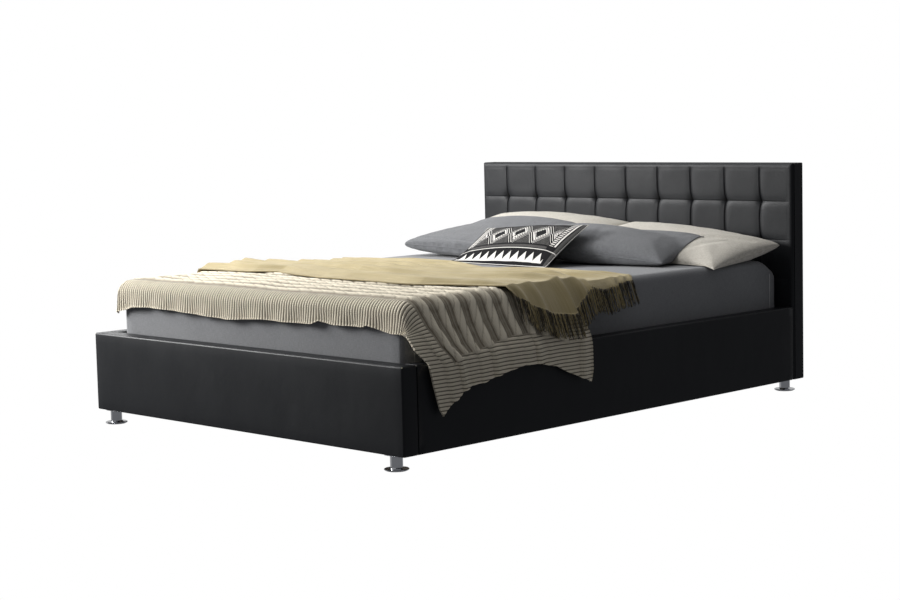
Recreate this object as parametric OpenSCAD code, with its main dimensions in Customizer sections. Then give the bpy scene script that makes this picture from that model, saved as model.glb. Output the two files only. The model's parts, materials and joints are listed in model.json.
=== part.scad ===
// Upholstered double bed with a square-tufted headboard, low foot panel and deep
// side rails, on chrome feet. Dressed with mattress, sheet, pillows, blanket and throw.
// Millimetres. The bed stands on z = 0, its head end is +Y, and the origin is the
// underside of the middle support foot.

/* [Mattress] */
// Width of the mattress
mattress_w = 1500; // [1200:50:1800]
// Length of the mattress
mattress_l = 2000; // [1900:50:2200]
// Thickness of the mattress
mattress_t = 250; // [180:10:320]
// Radius of the mattress's upright corners
mattress_corner_r = 50; // [30:5:90]
// Thickness of the foam on top of the spring core
comfort_t = 50; // [20:5:70]
// Thickness of the quilted ticking
ticking_t = 4; // [2:0.5:8]
// Thickness of the fitted sheet
sheet_t = 2; // [1:0.5:3]
// How far the fitted sheet turns under the mattress
sheet_turn = 90; // [40:10:200]

/* [Frame] */
// Thickness of each side rail
side_t = 55; // [50:1:80]
// Thickness of the foot panel
foot_t = 65; // [60:1:90]
// Thickness of the headboard
head_t = 70; // [64:1:110]
// Height of the rails and the foot panel
rail_h = 284; // [230:2:350]
// Height of the headboard from its lower edge
head_h = 837; // [600:1:1100]
// Gap between the mattress and each side rail
side_gap = 15; // [8:1:25]
// Gap between the mattress and the foot panel
foot_gap = 14; // [13:1:30]
// Gap between the mattress and the headboard
head_gap = 3; // [2:1:12]
// Depth from the rail top down to the slats
slat_drop = 66; // [40:2:90]

/* [Upholstery] */
// Thickness of the leather cover
cover_t = 2; // [1:0.5:3]
// Thickness of the headboard's foam
head_foam_t = 24; // [20:1:40]
// Thickness of the foot panel's outer foam
foot_foam_t = 16; // [8:1:22]
// Thickness of the foot panel's inner padding
foot_pad_t = 5; // [3:1:8]
// Thickness of a side rail's foam
side_foam_t = 21; // [8:1:24]
// Number of tufts across the headboard
tuft_columns = 10; // [6:1:14]
// Number of rows of pulled points
tuft_rows = 3; // [1:1:4]
// Distance between pulled points across the headboard
tuft_pitch_x = 168; // [120:2:180]
// Distance between pulled points up the headboard
tuft_pitch_z = 148; // [120:2:180]
// Depth of a pulled point
tuft_depth = 16; // [8:1:17]
// Radius of the hollow at a pulled point
tuft_r = 30; // [20:1:45]
// Radius of the sunk button in a pulled point
tuft_button_r = 5; // [3:0.5:8]

/* [Timber] */
// Thickness of the plywood behind the foam of the headboard and foot panel
ply_t = 12; // [9:1:15]
// Width of the battens in the headboard and foot panel
batten_w = 60; // [40:5:80]
// Width of a ledger, measured from the rail
ledger_w = 30; // [24:1:40]
// Height of a ledger
ledger_h = 35; // [25:1:50]
// Number of slats on each side
slat_count = 14; // [10:1:18]
// Width of a slat
slat_w = 68; // [50:1:80]
// Thickness of a slat
slat_t = 8; // [6:1:12]

/* [Steel] */
// Width of the centre beam
beam_w = 50; // [40:5:60]
// Height of the centre beam
beam_h = 40; // [30:5:60]
// Wall of the steel tubes
tube_wall = 2; // [1.5:0.5:3]
// Thickness of the steel brackets
bracket_t = 3; // [2:0.5:5]
// Length of each side of a corner bracket
bracket_side = 60; // [50:5:90]
// Height of a corner bracket
bracket_h = 120; // [100:10:150]
// Radius of the bracket bolts
bolt_r = 4; // [3:0.5:5]
// Length of the bracket bolts under the head
bolt_l = 30; // [24:1:32]

/* [Feet] */
// Height of the bed's underside above the floor
leg_h = 50; // [45:1:90]
// Radius of a chrome leg
leg_r = 20.5; // [16:0.5:24]
// Radius of a chrome leg's flared base
base_r = 40; // [34:1:50]
// Height of the flared base
base_h = 9; // [8:0.5:14]
// Distance from the bed's side to a leg's axis
leg_inset = 70; // [50:1:120]
// Distance from the headboard's back to a leg's axis
head_leg_inset = 28; // [25:1:36]
// Radius of a centre leg
post_r = 19; // [16:1:22]
// Radius of a support foot
foot_r = 25; // [20:1:30]
// Height of a support foot's pad
foot_h = 10; // [8:1:14]
// Radius of a support foot's stud
stud_r = 5; // [4:0.5:6]
// How far a support foot screws out
foot_travel = 20; // [10:1:30]

/* [Bedding] */
// Thickness of the knitted blanket
blanket_t = 13; // [8:1:16]
// Distance from the mattress's foot end to the blanket's head edge
blanket_run = 775; // [600:25:900]
// Length of the blanket's fall over the foot end
foot_fall = 92; // [50:2:150]
// Length of the blanket's and the throw's fall over the far side
far_fall = 70; // [40:5:75]
// Length of the throw's fall at its near end
throw_fall = 100; // [50:5:110]
// Thickness of the throw
throw_t = 7; // [4:1:10]
// Width of the throw, measured along the bed
throw_w = 780; // [500:20:900]
// Distance the throw lies over the blanket
throw_lap = 440; // [200:20:500]
// Length of the throw's fringe
fringe_l = 92; // [40:2:100]
// Number of tassels at each end of the throw
tassels = 30; // [20:1:40]
// Width of a bed pillow
pillow_w = 700; // [600:10:720]
// Thickness of a bed pillow's bulge
pillow_up = 52; // [40:2:70]
// Width of the patterned cushion
cushion_w = 570; // [400:10:700]
// Depth of the patterned cushion
cushion_d = 280; // [240:10:450]

/* [Hidden] */

// Clearances: between pieces that are pushed or laid together, round a bolt,
// round a screw's thread, and round the support feet's studs
fit_gap = 0.5;
bolt_gap = 0.25;
screw_gap = 0.05;
stud_gap = 0.08;
// How far a cut runs past the face that it cuts
past = 1;

// Overall box of the frame
bed_w = mattress_w + 2 * (side_gap + side_t);
bed_l = mattress_l + foot_gap + foot_t + head_gap + head_t;
foot_y = -bed_l / 2;
head_y = bed_l / 2;
foot_in = foot_y + foot_t;
head_in = head_y - head_t;
rail_in = bed_w / 2 - side_t;
rail_top = leg_h + rail_h;
slat_top = rail_top - slat_drop;
slat_base = slat_top - 2 * slat_t;

// Mattress
bed_low = slat_top + fit_gap;
bed_top = bed_low + mattress_t;
bed_foot = foot_in + foot_gap;
bed_head = bed_foot + mattress_l;

// Slats, caps and ledgers
cap_wall = 4;
cap_l = 48;
cap_slot = 34;
centre_cap_l = 90;
slat_pitch = mattress_l / slat_count;
slat_out = rail_in - fit_gap - cap_wall - fit_gap;
ledger_end_gap = 75;
ledger_l = head_in - foot_in - 2 * ledger_end_gap;
ledger_screw_count = 9;

// Screws and bolts
screw_r = 2.2;
screw_head_r = 4;
screw_head_t = 2;
screw_l = 24;
bolt_head_r = 7;
bolt_head_t = 4;

// Legs
plate_t = 3;
plate_x = 62;
plate_y = 44;
glide_t = 2;
glide_r = base_r - 6;
leg_screw_x = 25.5;
leg_screw_y = 12;
leg_places = [
    for (side = [-1, 1], y = [foot_y + foot_t / 2, head_y - head_leg_inset])
        [side * (bed_w / 2 - leg_inset), y]
];

// Centre posts and support feet: one in the middle and one towards each end
post_inset = 342;
post_ys = [foot_in + post_inset, 0, head_in - post_inset];
plug_h = 26;
post_low = foot_h + 22;
beam_low = slat_base - beam_h;
stud_l = post_low + plug_h - foot_h - fit_gap;

// Headboard tufts: the columns are centred and the rows run down from the top
tuft_top = leg_h + head_h - tuft_pitch_z;
tuft_half = (tuft_columns - 2) / 2;
tuft_places = [
    for (row = [0:tuft_rows - 1], k = [-tuft_half:tuft_half])
        [k * tuft_pitch_x, tuft_top - row * tuft_pitch_z]
];

// ---------- Frame helpers ----------

// A box given by its lowest corner and its highest corner
module span(low, high) {
    translate(low) cube(high - low);
}

// A closed skin of the cover's thickness just inside a box
module skin_box(low, high) {
    inside = [cover_t, cover_t, cover_t];
    difference() {
        span(low, high);
        span(low + inside, high - inside);
    }
}

// A panel of battens: a rim and evenly spaced uprights between low and high
module batten_panel(low, high, uprights) {
    size = high - low;
    bay = (size.x - (uprights + 1) * batten_w) / uprights;
    difference() {
        span(low, high);
        for (i = [0:uprights - 1])
            translate([low.x + batten_w + i * (bay + batten_w), low.y - past, low.z + batten_w])
                cube([bay, size.y + 2 * past, size.z - 2 * batten_w]);
    }
}

// A block with rounded upright corners, centred on X and Y
module round_block(w, l, h, corner_r) {
    r = max(corner_r, fit_gap);
    linear_extrude(h) {
        square([w - 2 * r, l], center = true);
        square([w, l - 2 * r], center = true);
        for (x = [-1, 1], y = [-1, 1])
            translate([x * (w / 2 - r), y * (l / 2 - r)]) circle(r = r, $fn = 64);
    }
}

// Copies of a shape at the four inner corners, mirrored to face each corner
module at_corners() {
    for (side = [1, -1])
        mirror([side < 0 ? 1 : 0, 0, 0]) {
            translate([rail_in, foot_in, 0]) children();
            translate([rail_in, head_in, 0]) mirror([0, 1, 0]) children();
        }
}

// The leg screws' places, r wide and from z = low to z = high
module leg_screw_rods(r, low, high) {
    for (p = leg_places, x = [-1, 1], y = [-1, 1])
        translate([p.x + x * leg_screw_x, p.y + y * leg_screw_y, low])
            cylinder(r = r, h = high - low, $fn = 24);
}

// ---------- Bolts that tie the rails to the panels ----------

bolt_zs = [for (k = [-1, 1]) leg_h + rail_h * 0.4 + k * bracket_h * 0.3];
bolt_reach = bracket_side * 0.6;

// Rods along the corner bolts, from start behind the bracket's face to reach
module corner_bolt_rods(r, start, reach) {
    at_corners()
        for (z = bolt_zs) {
            translate([-bracket_t - start, bolt_reach, z])
                rotate([0, 90, 0]) cylinder(r = r, h = start + reach, $fn = 24);
            translate([-bolt_reach, bracket_t + start, z])
                rotate([90, 0, 0]) cylinder(r = r, h = start + reach, $fn = 24);
        }
}

module corner_brackets() {
    low_z = leg_h + rail_h * 0.4 - bracket_h / 2;
    color("dimgray")
        difference() {
            at_corners()
                translate([0, 0, low_z])
                    difference() {
                        translate([-bracket_side, 0, 0])
                            cube([bracket_side, bracket_side, bracket_h]);
                        translate([-bracket_side - past, bracket_t, -past])
                            cube([bracket_side - bracket_t + past, bracket_side, bracket_h + 2 * past]);
                    }
            corner_bolt_rods(bolt_r + bolt_gap, past, bracket_t + past);
        }
}

module bracket_bolts() {
    color("silver") {
        corner_bolt_rods(bolt_r, bolt_head_t, bracket_t + bolt_l);
        corner_bolt_rods(bolt_head_r, bolt_head_t, 0);
    }
}

// ---------- Headboard ----------

head_low = [-bed_w / 2, head_in, leg_h];
head_high = [bed_w / 2, head_y, leg_h + head_h];
head_side = cover_t;
foam_back = head_in + cover_t + head_foam_t;
ply_back = foam_back + ply_t;

// The cone of each pulled point, grown by a skin
module tuft_cones(grow) {
    for (p = tuft_places)
        translate([p.x, head_in, p.y])
            rotate([-90, 0, 0])
                translate([0, 0, -past])
                    cylinder(r1 = tuft_r + grow, r2 = tuft_button_r + grow + fit_gap,
                             h = tuft_depth + grow + past, $fn = 32);
}

module headboard_cover() {
    color([0.10, 0.10, 0.11])
        difference() {
            span(head_low, head_high);
            tuft_cones(0);
            difference() {
                span(head_low + [cover_t, cover_t, cover_t],
                     head_high + [-cover_t, past, -cover_t]);
                tuft_cones(cover_t);
            }
            corner_bolt_rods(bolt_r + bolt_gap, past, bolt_l + bracket_t + past);
            hanger_bolt_rods(bolt_r + bolt_gap, past, bolt_l + bracket_t + past);
            leg_screw_rods(screw_r + bolt_gap, leg_h - past, leg_h + cover_t + past);
        }
}

module headboard_back_cover() {
    color([0.13, 0.13, 0.14])
        span([head_low.x + cover_t, head_y - cover_t, leg_h + cover_t],
             [head_high.x - cover_t, head_y, leg_h + head_h - cover_t]);
}

module headboard_foam() {
    color("khaki")
        difference() {
            span([head_low.x + head_side, head_in + cover_t, leg_h + cover_t],
                 [head_high.x - head_side, foam_back, leg_h + head_h - cover_t]);
            tuft_cones(cover_t);
            corner_bolt_rods(bolt_r + bolt_gap, past, bolt_l + bracket_t + past);
            hanger_bolt_rods(bolt_r + bolt_gap, past, bolt_l + bracket_t + past);
        }
}

module headboard_panel() {
    color("burlywood")
        difference() {
            span([head_low.x + head_side, foam_back, leg_h + cover_t],
                 [head_high.x - head_side, ply_back, leg_h + head_h - cover_t]);
            corner_bolt_rods(bolt_r + screw_gap, past, bolt_l + bracket_t + past);
            hanger_bolt_rods(bolt_r + screw_gap, past, bolt_l + bracket_t + past);
            leg_screw_rods(screw_r + screw_gap, leg_h, leg_h + screw_l);
        }
}

module headboard_frame() {
    color("tan")
        difference() {
            batten_panel([head_low.x + head_side, ply_back, leg_h + cover_t],
                         [head_high.x - head_side, head_y - cover_t, leg_h + head_h - cover_t], 4);
            leg_screw_rods(screw_r + screw_gap, leg_h, leg_h + screw_l);
        }
}

module tuft_buttons() {
    color([0.08, 0.08, 0.09])
        for (p = tuft_places)
            translate([p.x, head_in + tuft_depth - 2, p.y])
                rotate([-90, 0, 0]) cylinder(r = tuft_button_r - fit_gap, h = 2, $fn = 24);
}

// ---------- Foot panel ----------

foot_low = [-bed_w / 2, foot_y, leg_h];
foot_high = [bed_w / 2, foot_in, rail_top];
foot_ply_y = foot_y + cover_t + foot_foam_t;
foot_frame_y = foot_ply_y + ply_t;
foot_pad_y = foot_in - cover_t - foot_pad_t;

// A slab of the foot panel's inside between two values of y
module foot_slab(y0, y1) {
    span([foot_low.x + cover_t, y0, leg_h + cover_t],
         [foot_high.x - cover_t, y1, rail_top - cover_t]);
}

module footboard_cover() {
    color([0.12, 0.12, 0.13])
        difference() {
            skin_box(foot_low, foot_high);
            corner_bolt_rods(bolt_r + bolt_gap, past, bolt_l + bracket_t + past);
            hanger_bolt_rods(bolt_r + bolt_gap, past, bolt_l + bracket_t + past);
            leg_screw_rods(screw_r + bolt_gap, leg_h - past, leg_h + cover_t + past);
        }
}

module footboard_foam() {
    color("khaki") foot_slab(foot_y + cover_t, foot_ply_y);
}

module footboard_panel() {
    color("burlywood")
        difference() {
            foot_slab(foot_ply_y, foot_frame_y);
            leg_screw_rods(screw_r + screw_gap, leg_h, leg_h + screw_l);
        }
}

module footboard_frame() {
    color("tan")
        difference() {
            batten_panel([foot_low.x + cover_t, foot_frame_y, leg_h + cover_t],
                         [foot_high.x - cover_t, foot_pad_y, rail_top - cover_t], 4);
            corner_bolt_rods(bolt_r + screw_gap, past, bolt_l + bracket_t + past);
            hanger_bolt_rods(bolt_r + screw_gap, past, bolt_l + bracket_t + past);
            leg_screw_rods(screw_r + screw_gap, leg_h, leg_h + screw_l);
        }
}

module footboard_pad() {
    color("khaki")
        difference() {
            foot_slab(foot_pad_y, foot_in - cover_t);
            corner_bolt_rods(bolt_r + bolt_gap, past, bolt_l + bracket_t + past);
            hanger_bolt_rods(bolt_r + bolt_gap, past, bolt_l + bracket_t + past);
        }
}

// ---------- Side rails ----------

rail_y0 = foot_in + fit_gap;
rail_y1 = head_in - fit_gap;
board_out = bed_w / 2 - cover_t - side_foam_t;
ledger_z = slat_base - ledger_h / 2;

// A slab of the right rail's inside between two values of x
module rail_slab(x0, x1) {
    span([x0, rail_y0 + cover_t, leg_h + cover_t], [x1, rail_y1 - cover_t, rail_top - cover_t]);
}

// The ledger screws' places on the right rail, from x = low to x = high
module ledger_screw_rods(r, low, high) {
    for (i = [0:ledger_screw_count - 1])
        translate([low, -ledger_l / 2 + (i + 0.5) * ledger_l / ledger_screw_count + foot_in / 2
                   + head_in / 2, ledger_z])
            rotate([0, 90, 0]) cylinder(r = r, h = high - low, $fn = 24);
}

module rail_cover() {
    color([0.10, 0.10, 0.11])
        difference() {
            skin_box([rail_in, rail_y0, leg_h], [bed_w / 2, rail_y1, rail_top]);
            corner_bolt_rods(bolt_r + bolt_gap, past, cover_t + bracket_t + past);
            ledger_screw_rods(screw_r + bolt_gap, rail_in - past, rail_in + cover_t + past);
        }
}

module rail_foam() {
    color("khaki") rail_slab(board_out, bed_w / 2 - cover_t);
}

module rail_board() {
    color("burlywood")
        difference() {
            rail_slab(rail_in + cover_t, board_out);
            corner_bolt_rods(bolt_r + screw_gap, past, bolt_l + bracket_t + past);
            ledger_screw_rods(screw_r + screw_gap, rail_in, rail_in + screw_l);
        }
}

module side_rail_right_cover() { rail_cover(); }
module side_rail_right_foam() { rail_foam(); }
module side_rail_right_board() { rail_board(); }
module side_rail_left_cover() { mirror([1, 0, 0]) rail_cover(); }
module side_rail_left_foam() { mirror([1, 0, 0]) rail_foam(); }
module side_rail_left_board() { mirror([1, 0, 0]) rail_board(); }

// ---------- Slat base ----------

module ledger() {
    color("tan")
        difference() {
            translate([rail_in - ledger_w, foot_in + ledger_end_gap, slat_base - ledger_h])
                cube([ledger_w, ledger_l, ledger_h]);
            ledger_screw_rods(screw_r + screw_gap, rail_in - ledger_w - past, rail_in + past);
        }
}

module slat_ledger_right() { ledger(); }
module slat_ledger_left() { mirror([1, 0, 0]) ledger(); }

module ledger_screws() {
    color("silver")
        for (side = [0, 1])
            mirror([side, 0, 0]) {
                ledger_screw_rods(screw_r, rail_in - ledger_w, rail_in + screw_l);
                ledger_screw_rods(screw_head_r, rail_in - ledger_w - screw_head_t,
                                  rail_in - ledger_w);
            }
}

// Copies of a shape at every slat's middle
module at_slats() {
    for (i = [0:slat_count - 1])
        translate([0, bed_foot + (i + 0.5) * slat_pitch, 0]) children();
}

module slat_row() {
    color("wheat")
        at_slats()
            translate([cap_wall, -slat_w / 2, slat_top - slat_t])
                cube([slat_out - cap_wall, slat_w, slat_t]);
}

module slats_right() { slat_row(); }
module slats_left() { mirror([1, 0, 0]) slat_row(); }

// The room a slat takes in a cap, from x0 to x1
module slat_slot(x0, x1) {
    span([x0, -slat_w / 2 - fit_gap, slat_top - slat_t], [x1, slat_w / 2 + fit_gap, slat_top + past]);
}

module slat_end_caps() {
    cap_w = slat_w + 2 * (cap_wall + fit_gap);
    cap_end = rail_in - fit_gap;
    color([0.15, 0.15, 0.15])
        for (side = [0, 1])
            mirror([side, 0, 0])
                at_slats()
                    difference() {
                        span([cap_end - cap_l, -cap_w / 2, slat_base], [cap_end, cap_w / 2, slat_top]);
                        slat_slot(cap_end - cap_l - past, slat_out + fit_gap);
                    }
}

module slat_centre_caps() {
    cap_w = slat_w + 2 * (cap_wall + fit_gap);
    color([0.15, 0.15, 0.15])
        at_slats()
            difference() {
                span([-centre_cap_l / 2, -cap_w / 2, slat_base], [centre_cap_l / 2, cap_w / 2, slat_top]);
                slat_slot(cap_wall - fit_gap, centre_cap_l);
                slat_slot(-centre_cap_l, fit_gap - cap_wall);
            }
}

// ---------- Centre beam, posts and support feet ----------

module centre_beam() {
    color("dimgray")
        difference() {
            span([-beam_w / 2, foot_in + bracket_t + fit_gap, beam_low],
                 [beam_w / 2, head_in - bracket_t - fit_gap, slat_base]);
            span([tube_wall - beam_w / 2, foot_in, beam_low + tube_wall],
                 [beam_w / 2 - tube_wall, head_in, slat_base - tube_wall]);
        }
}

hanger_l = 50;
hanger_ear = 25;
hanger_half = beam_w / 2 + fit_gap;
hanger_low = beam_low - fit_gap;
hanger_bolt_x = hanger_half + bracket_t + hanger_ear / 2;
hanger_bolt_z = beam_low + beam_h / 2;

// A shape at each end of the beam
module at_beam_ends() {
    translate([0, foot_in, 0]) children();
    translate([0, head_in, 0]) mirror([0, 1, 0]) children();
}

// Rods along the hanger bolts, from start behind the plate's face to reach
module hanger_bolt_rods(r, start, reach) {
    at_beam_ends()
        for (x = [-1, 1])
            translate([x * hanger_bolt_x, bracket_t + start, hanger_bolt_z])
                rotate([90, 0, 0]) cylinder(r = r, h = start + reach, $fn = 24);
}

module beam_hangers() {
    half = hanger_half + bracket_t;
    color("dimgray")
        difference() {
            at_beam_ends() {
                span([-half - hanger_ear, 0, hanger_low - bracket_t],
                     [half + hanger_ear, bracket_t, slat_base - 2 * fit_gap]);
                difference() {
                    span([-half, 0, hanger_low - bracket_t], [half, hanger_l, slat_base - 2 * fit_gap]);
                    span([-hanger_half, 0, hanger_low], [hanger_half, hanger_l + past, slat_base]);
                }
            }
            hanger_bolt_rods(bolt_r + bolt_gap, past, bracket_t + past);
        }
}

module hanger_bolts() {
    color("silver") {
        hanger_bolt_rods(bolt_r, bolt_head_t, bracket_t + bolt_l);
        hanger_bolt_rods(bolt_head_r, bolt_head_t, 0);
    }
}

module centre_posts() {
    color([0.12, 0.12, 0.12])
        for (y = post_ys)
            translate([0, y, 0]) {
                difference() {
                    translate([0, 0, post_low]) cylinder(r = post_r, h = beam_low - post_low, $fn = 48);
                    translate([0, 0, post_low - past])
                        cylinder(r = post_r - tube_wall, h = beam_low - post_low, $fn = 48);
                }
            }
}

module centre_post_plugs() {
    color([0.15, 0.15, 0.15])
        for (y = post_ys)
            translate([0, y, post_low])
                difference() {
                    cylinder(r = post_r - tube_wall, h = plug_h, $fn = 48);
                    translate([0, 0, -past])
                        cylinder(r = stud_r + stud_gap, h = plug_h + 2 * past, $fn = 32);
                }
}

module support_foot(y) {
    color([0.15, 0.15, 0.15])
        translate([0, y, 0]) {
            rotate_extrude($fn = 48)
                polygon([[0, 0], [foot_r - 1, 0], [foot_r, 1], [foot_r, foot_h / 2],
                         [stud_r * 2, foot_h], [0, foot_h]]);
            translate([0, 0, foot_h]) cylinder(r = stud_r, h = stud_l, $fn = 32);
        }
}

module support_foot_front() { support_foot(post_ys[0]); }
module support_foot_middle() { support_foot(post_ys[1]); }
module support_foot_rear() { support_foot(post_ys[2]); }

// ---------- Chrome corner legs ----------

// A shape at each corner leg
module at_legs() {
    for (p = leg_places) translate([p.x, p.y, 0]) children();
}

base_top = glide_t + base_h;
leg_wall = 1.5;

module leg_plates() {
    color("silver")
        difference() {
            at_legs()
                translate([-plate_x / 2, -plate_y / 2, leg_h - plate_t]) cube([plate_x, plate_y, plate_t]);
            leg_screw_rods(screw_r + bolt_gap, leg_h - plate_t - past, leg_h + past);
        }
}

module leg_tubes() {
    tube_h = leg_h - plate_t - base_top;
    color("lightgray")
        at_legs()
            difference() {
                translate([0, 0, base_top]) cylinder(r = leg_r, h = tube_h, $fn = 64);
                translate([0, 0, base_top - past])
                    cylinder(r = leg_r - leg_wall, h = tube_h + 2 * past, $fn = 64);
            }
}

module leg_bases() {
    spigot_r = leg_r - leg_wall - fit_gap;
    color("lightgray")
        at_legs()
            rotate_extrude($fn = 64)
                polygon([[0, glide_t], [base_r - 1.5, glide_t], [base_r, glide_t + 1.5],
                         [base_r, glide_t + 3.5], [base_r - 3, glide_t + 5],
                         [leg_r + 5, base_top - 2], [leg_r + 1, base_top], [spigot_r, base_top],
                         [spigot_r, base_top + 10], [0, base_top + 10]]);
}

module leg_glides() {
    color([0.2, 0.2, 0.2]) at_legs() cylinder(r = glide_r, h = glide_t, $fn = 48);
}

module leg_screws() {
    color("silver") {
        leg_screw_rods(screw_r, leg_h - plate_t, leg_h + screw_l);
        leg_screw_rods(screw_head_r, leg_h - plate_t - screw_head_t, leg_h - plate_t);
    }
}

// ---------- Mattress ----------

// A mattress layer, inset from the mattress's faces, between two heights
module mattress_layer(inset, z0, z1) {
    translate([0, (bed_foot + bed_head) / 2, z0])
        round_block(mattress_w - 2 * inset, mattress_l - 2 * inset, z1 - z0, mattress_corner_r - inset);
}

ticking_in = sheet_t + ticking_t;
core_top = bed_top - ticking_in - comfort_t;

module fitted_sheet() {
    color([0.45, 0.48, 0.52])
        difference() {
            mattress_layer(0, bed_low, bed_top);
            mattress_layer(sheet_t, bed_low + sheet_t, bed_top - sheet_t);
            mattress_layer(sheet_turn, bed_low - past, bed_low + sheet_t + past);
        }
}

module mattress_ticking() {
    color("white")
        difference() {
            mattress_layer(sheet_t, bed_low + sheet_t, bed_top - sheet_t);
            mattress_layer(ticking_in, bed_low + ticking_in, bed_top - ticking_in);
        }
}

module mattress_core() {
    color("lightblue") mattress_layer(ticking_in, bed_low + ticking_in, core_top);
}

module mattress_comfort_layer() {
    color("lightyellow") mattress_layer(ticking_in, core_top, bed_top - ticking_in);
}

// ---------- Pillows and cushion ----------

// A pillow is a grid of points over u and v, each from -1 to 1. Its sides pull in
// between the corners and it is thickest in the middle. Its underside is pressed up by
// the surface below it and its top is pressed down by the surface above it.
grid_u = 16;
grid_v = 12;
lay_gap = 1;
pinch = 0.05;
least_t = 6;
least_layer = 14;

// Grid lines sit closer together towards a pillow's rim
function spread(i, n) = sin(90 * (2 * i / n - 1));

function bulge(u, v) = sqrt((1 - u ^ 4) * (1 - v ^ 4)) * (1 - (u ^ 2 + v ^ 2) / 8);

// Height of a sloping plane [x, y, z, slope, turn, side rise, half width] at a point.
// It rises by slope along +Y turned by turn, and again beyond its half width.
function plane_z(x, y, plane) =
    plane[2] + plane[3] * (cos(plane[4]) * (y - plane[1]) - sin(plane[4]) * (x - plane[0]))
    + plane[5] * max(0, abs(x - plane[0]) - plane[6]);

cream_size = [pillow_w, 420, 76, 72];
grey_size = [pillow_w - 10, 370, pillow_up, 60];
cushion_size = [cushion_w, cushion_d, 42, 38];
cream_y = bed_head - 215;
cream_tilt = 12;
grey_y = bed_head - 415;
grey_tilt = 8;
cushion_place = [-15, bed_head - 653, bed_top + 66];
cushion_turn = -7;
cushion_tilt = 32;

lap_plane = [0, cream_y - cream_size.y / 2, bed_top + least_layer, 0.6, 0, 0, 0];
rest_plane = [cushion_place.x, cushion_place.y, cushion_place.z - 24, tan(cushion_tilt), cushion_turn,
              0.35, cushion_w / 2];

// Where one soft piece ends and the next begins: the mattress's top (0), the cream
// pillows under the grey ones (1), the grey ones under the cushion (2), and the air (3)
function level_z(x, y, level) =
    level == 0 ? bed_top :
    level == 1 ? max(bed_top, plane_z(x, y, lap_plane)) :
    level == 2 ? max(level_z(x, y, 1) + least_layer, plane_z(x, y, rest_plane)) :
    bed_top + mattress_t;

// A point of a pillow: side is 1 on its top, -1 on its underside and 0 on its rim
function pillow_point(u, v, side, size, place, tilt, turn, levels) =
    let (lx = u * size.x / 2 * (1 - pinch * (1 - v ^ 2)),
         ly = v * size.y / 2 * cos(tilt) * (1 - pinch * (1 - u ^ 2)),
         x = place.x + lx * cos(turn) - ly * sin(turn),
         y = place.y + lx * sin(turn) + ly * cos(turn),
         mid = place.z + ly * tan(tilt),
         low = level_z(x, y, levels[0]) + lay_gap,
         high = level_z(x, y, levels[1]) - lay_gap,
         b = bulge(u, v),
         up = min(high, max(mid + size.z * b, low + least_t * b)),
         down = max(low, min(mid - size[3] * b, up - least_t * b)))
    [x, y, side > 0 ? up : side < 0 ? down : min(high, max(low, mid))];

// A pillow between two levels
module pillow(size, place, tilt, turn, levels) {
    row = grid_v + 1;
    count = (grid_u + 1) * row;
    function on_rim(k) =
        let (i = floor(k / row), j = k % row) i == 0 || i == grid_u || j == 0 || j == grid_v;
    // Rim points are shared: the underside reuses the top's rim
    function low_id(k) = on_rim(k) ? k : k + count;
    points = [
        for (side = [1, -1], k = [0:count - 1])
            pillow_point(spread(floor(k / row), grid_u), spread(k % row, grid_v),
                         on_rim(k) ? 0 : side, size, place, tilt, turn, levels)
    ];
    // Each cell is cut into two triangles along the diagonal that points to a corner
    cells = [
        for (i = [0:grid_u - 1], j = [0:grid_v - 1])
            let (k = i * row + j)
            (i < grid_u / 2) == (j < grid_v / 2)
                ? [k, k + 1, k + row + 1, k + row] : [k + 1, k + row + 1, k + row, k]
    ];
    polyhedron(points,
        [for (c = cells, face = [
            [c[0], c[1], c[2]], [c[0], c[2], c[3]],
            [low_id(c[0]), low_id(c[2]), low_id(c[1])],
            [low_id(c[0]), low_id(c[3]), low_id(c[2])]]) face]);
}

module cream_pillow(x) {
    color("antiquewhite") pillow(cream_size, [x, cream_y, bed_top + 76], cream_tilt, 0, [0, 1]);
}

module grey_pillow(x) {
    color([0.42, 0.43, 0.45]) pillow(grey_size, [x, grey_y, bed_top + 64], grey_tilt, 0, [1, 2]);
}

module pillow_cream_left() { cream_pillow(-335); }
module pillow_cream_right() { cream_pillow(400); }
module pillow_grey_left() { grey_pillow(-375); }
module pillow_grey_right() { grey_pillow(335); }

module accent_cushion() {
    color([0.18, 0.17, 0.17])
        pillow(cushion_size, cushion_place, cushion_tilt, cushion_turn, [2, 3]);
}

// ---------- Blanket and throw ----------

lift = 1.5;
blanket_low = bed_top + lift;
blanket_top = blanket_low + blanket_t;
blanket_end = bed_foot + blanket_run;
edge_x = mattress_w / 2 + lift;
far_x = -edge_x - blanket_t;
drape_x = bed_w / 2 + 4;
drape_y = foot_y + 35;
hem_z = rail_top - 55;

// The blanket's outer face runs straight from its bend over the mattress's edge to the
// rail's top edge. slope_a is that line's angle from upright.
bend_x = edge_x + blanket_t * 0.8;
rail_bend_z = rail_top + lift + 6;
slope_a = atan((drape_x + blanket_t - bend_x) / (blanket_top - rail_bend_z));

// Cross-section of the blanket: flat on the mattress, down over the rail and hanging
module blanket_section() {
    polygon([[far_x, blanket_low], [edge_x, blanket_low], [drape_x, rail_top + lift],
             [drape_x, leg_h], [drape_x + blanket_t, leg_h], [drape_x + blanket_t, rail_bend_z],
             [bend_x, blanket_top], [far_x, blanket_top]]);
}

// Side view of the blanket: its near hem hangs in two points
module blanket_outline() {
    polygon([[bed_foot - lift - blanket_t, blanket_top + past], [drape_y - 35, rail_top + 100],
             [drape_y + 20, hem_z - 10], [drape_y + 115, hem_z - 115], [drape_y + 250, hem_z - 35],
             [drape_y + 550, hem_z + 5], [blanket_end - 90, hem_z - 45], [blanket_end - 10, hem_z - 90],
             [blanket_end, hem_z + 20], [blanket_end, blanket_top + past]]);
}

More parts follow.
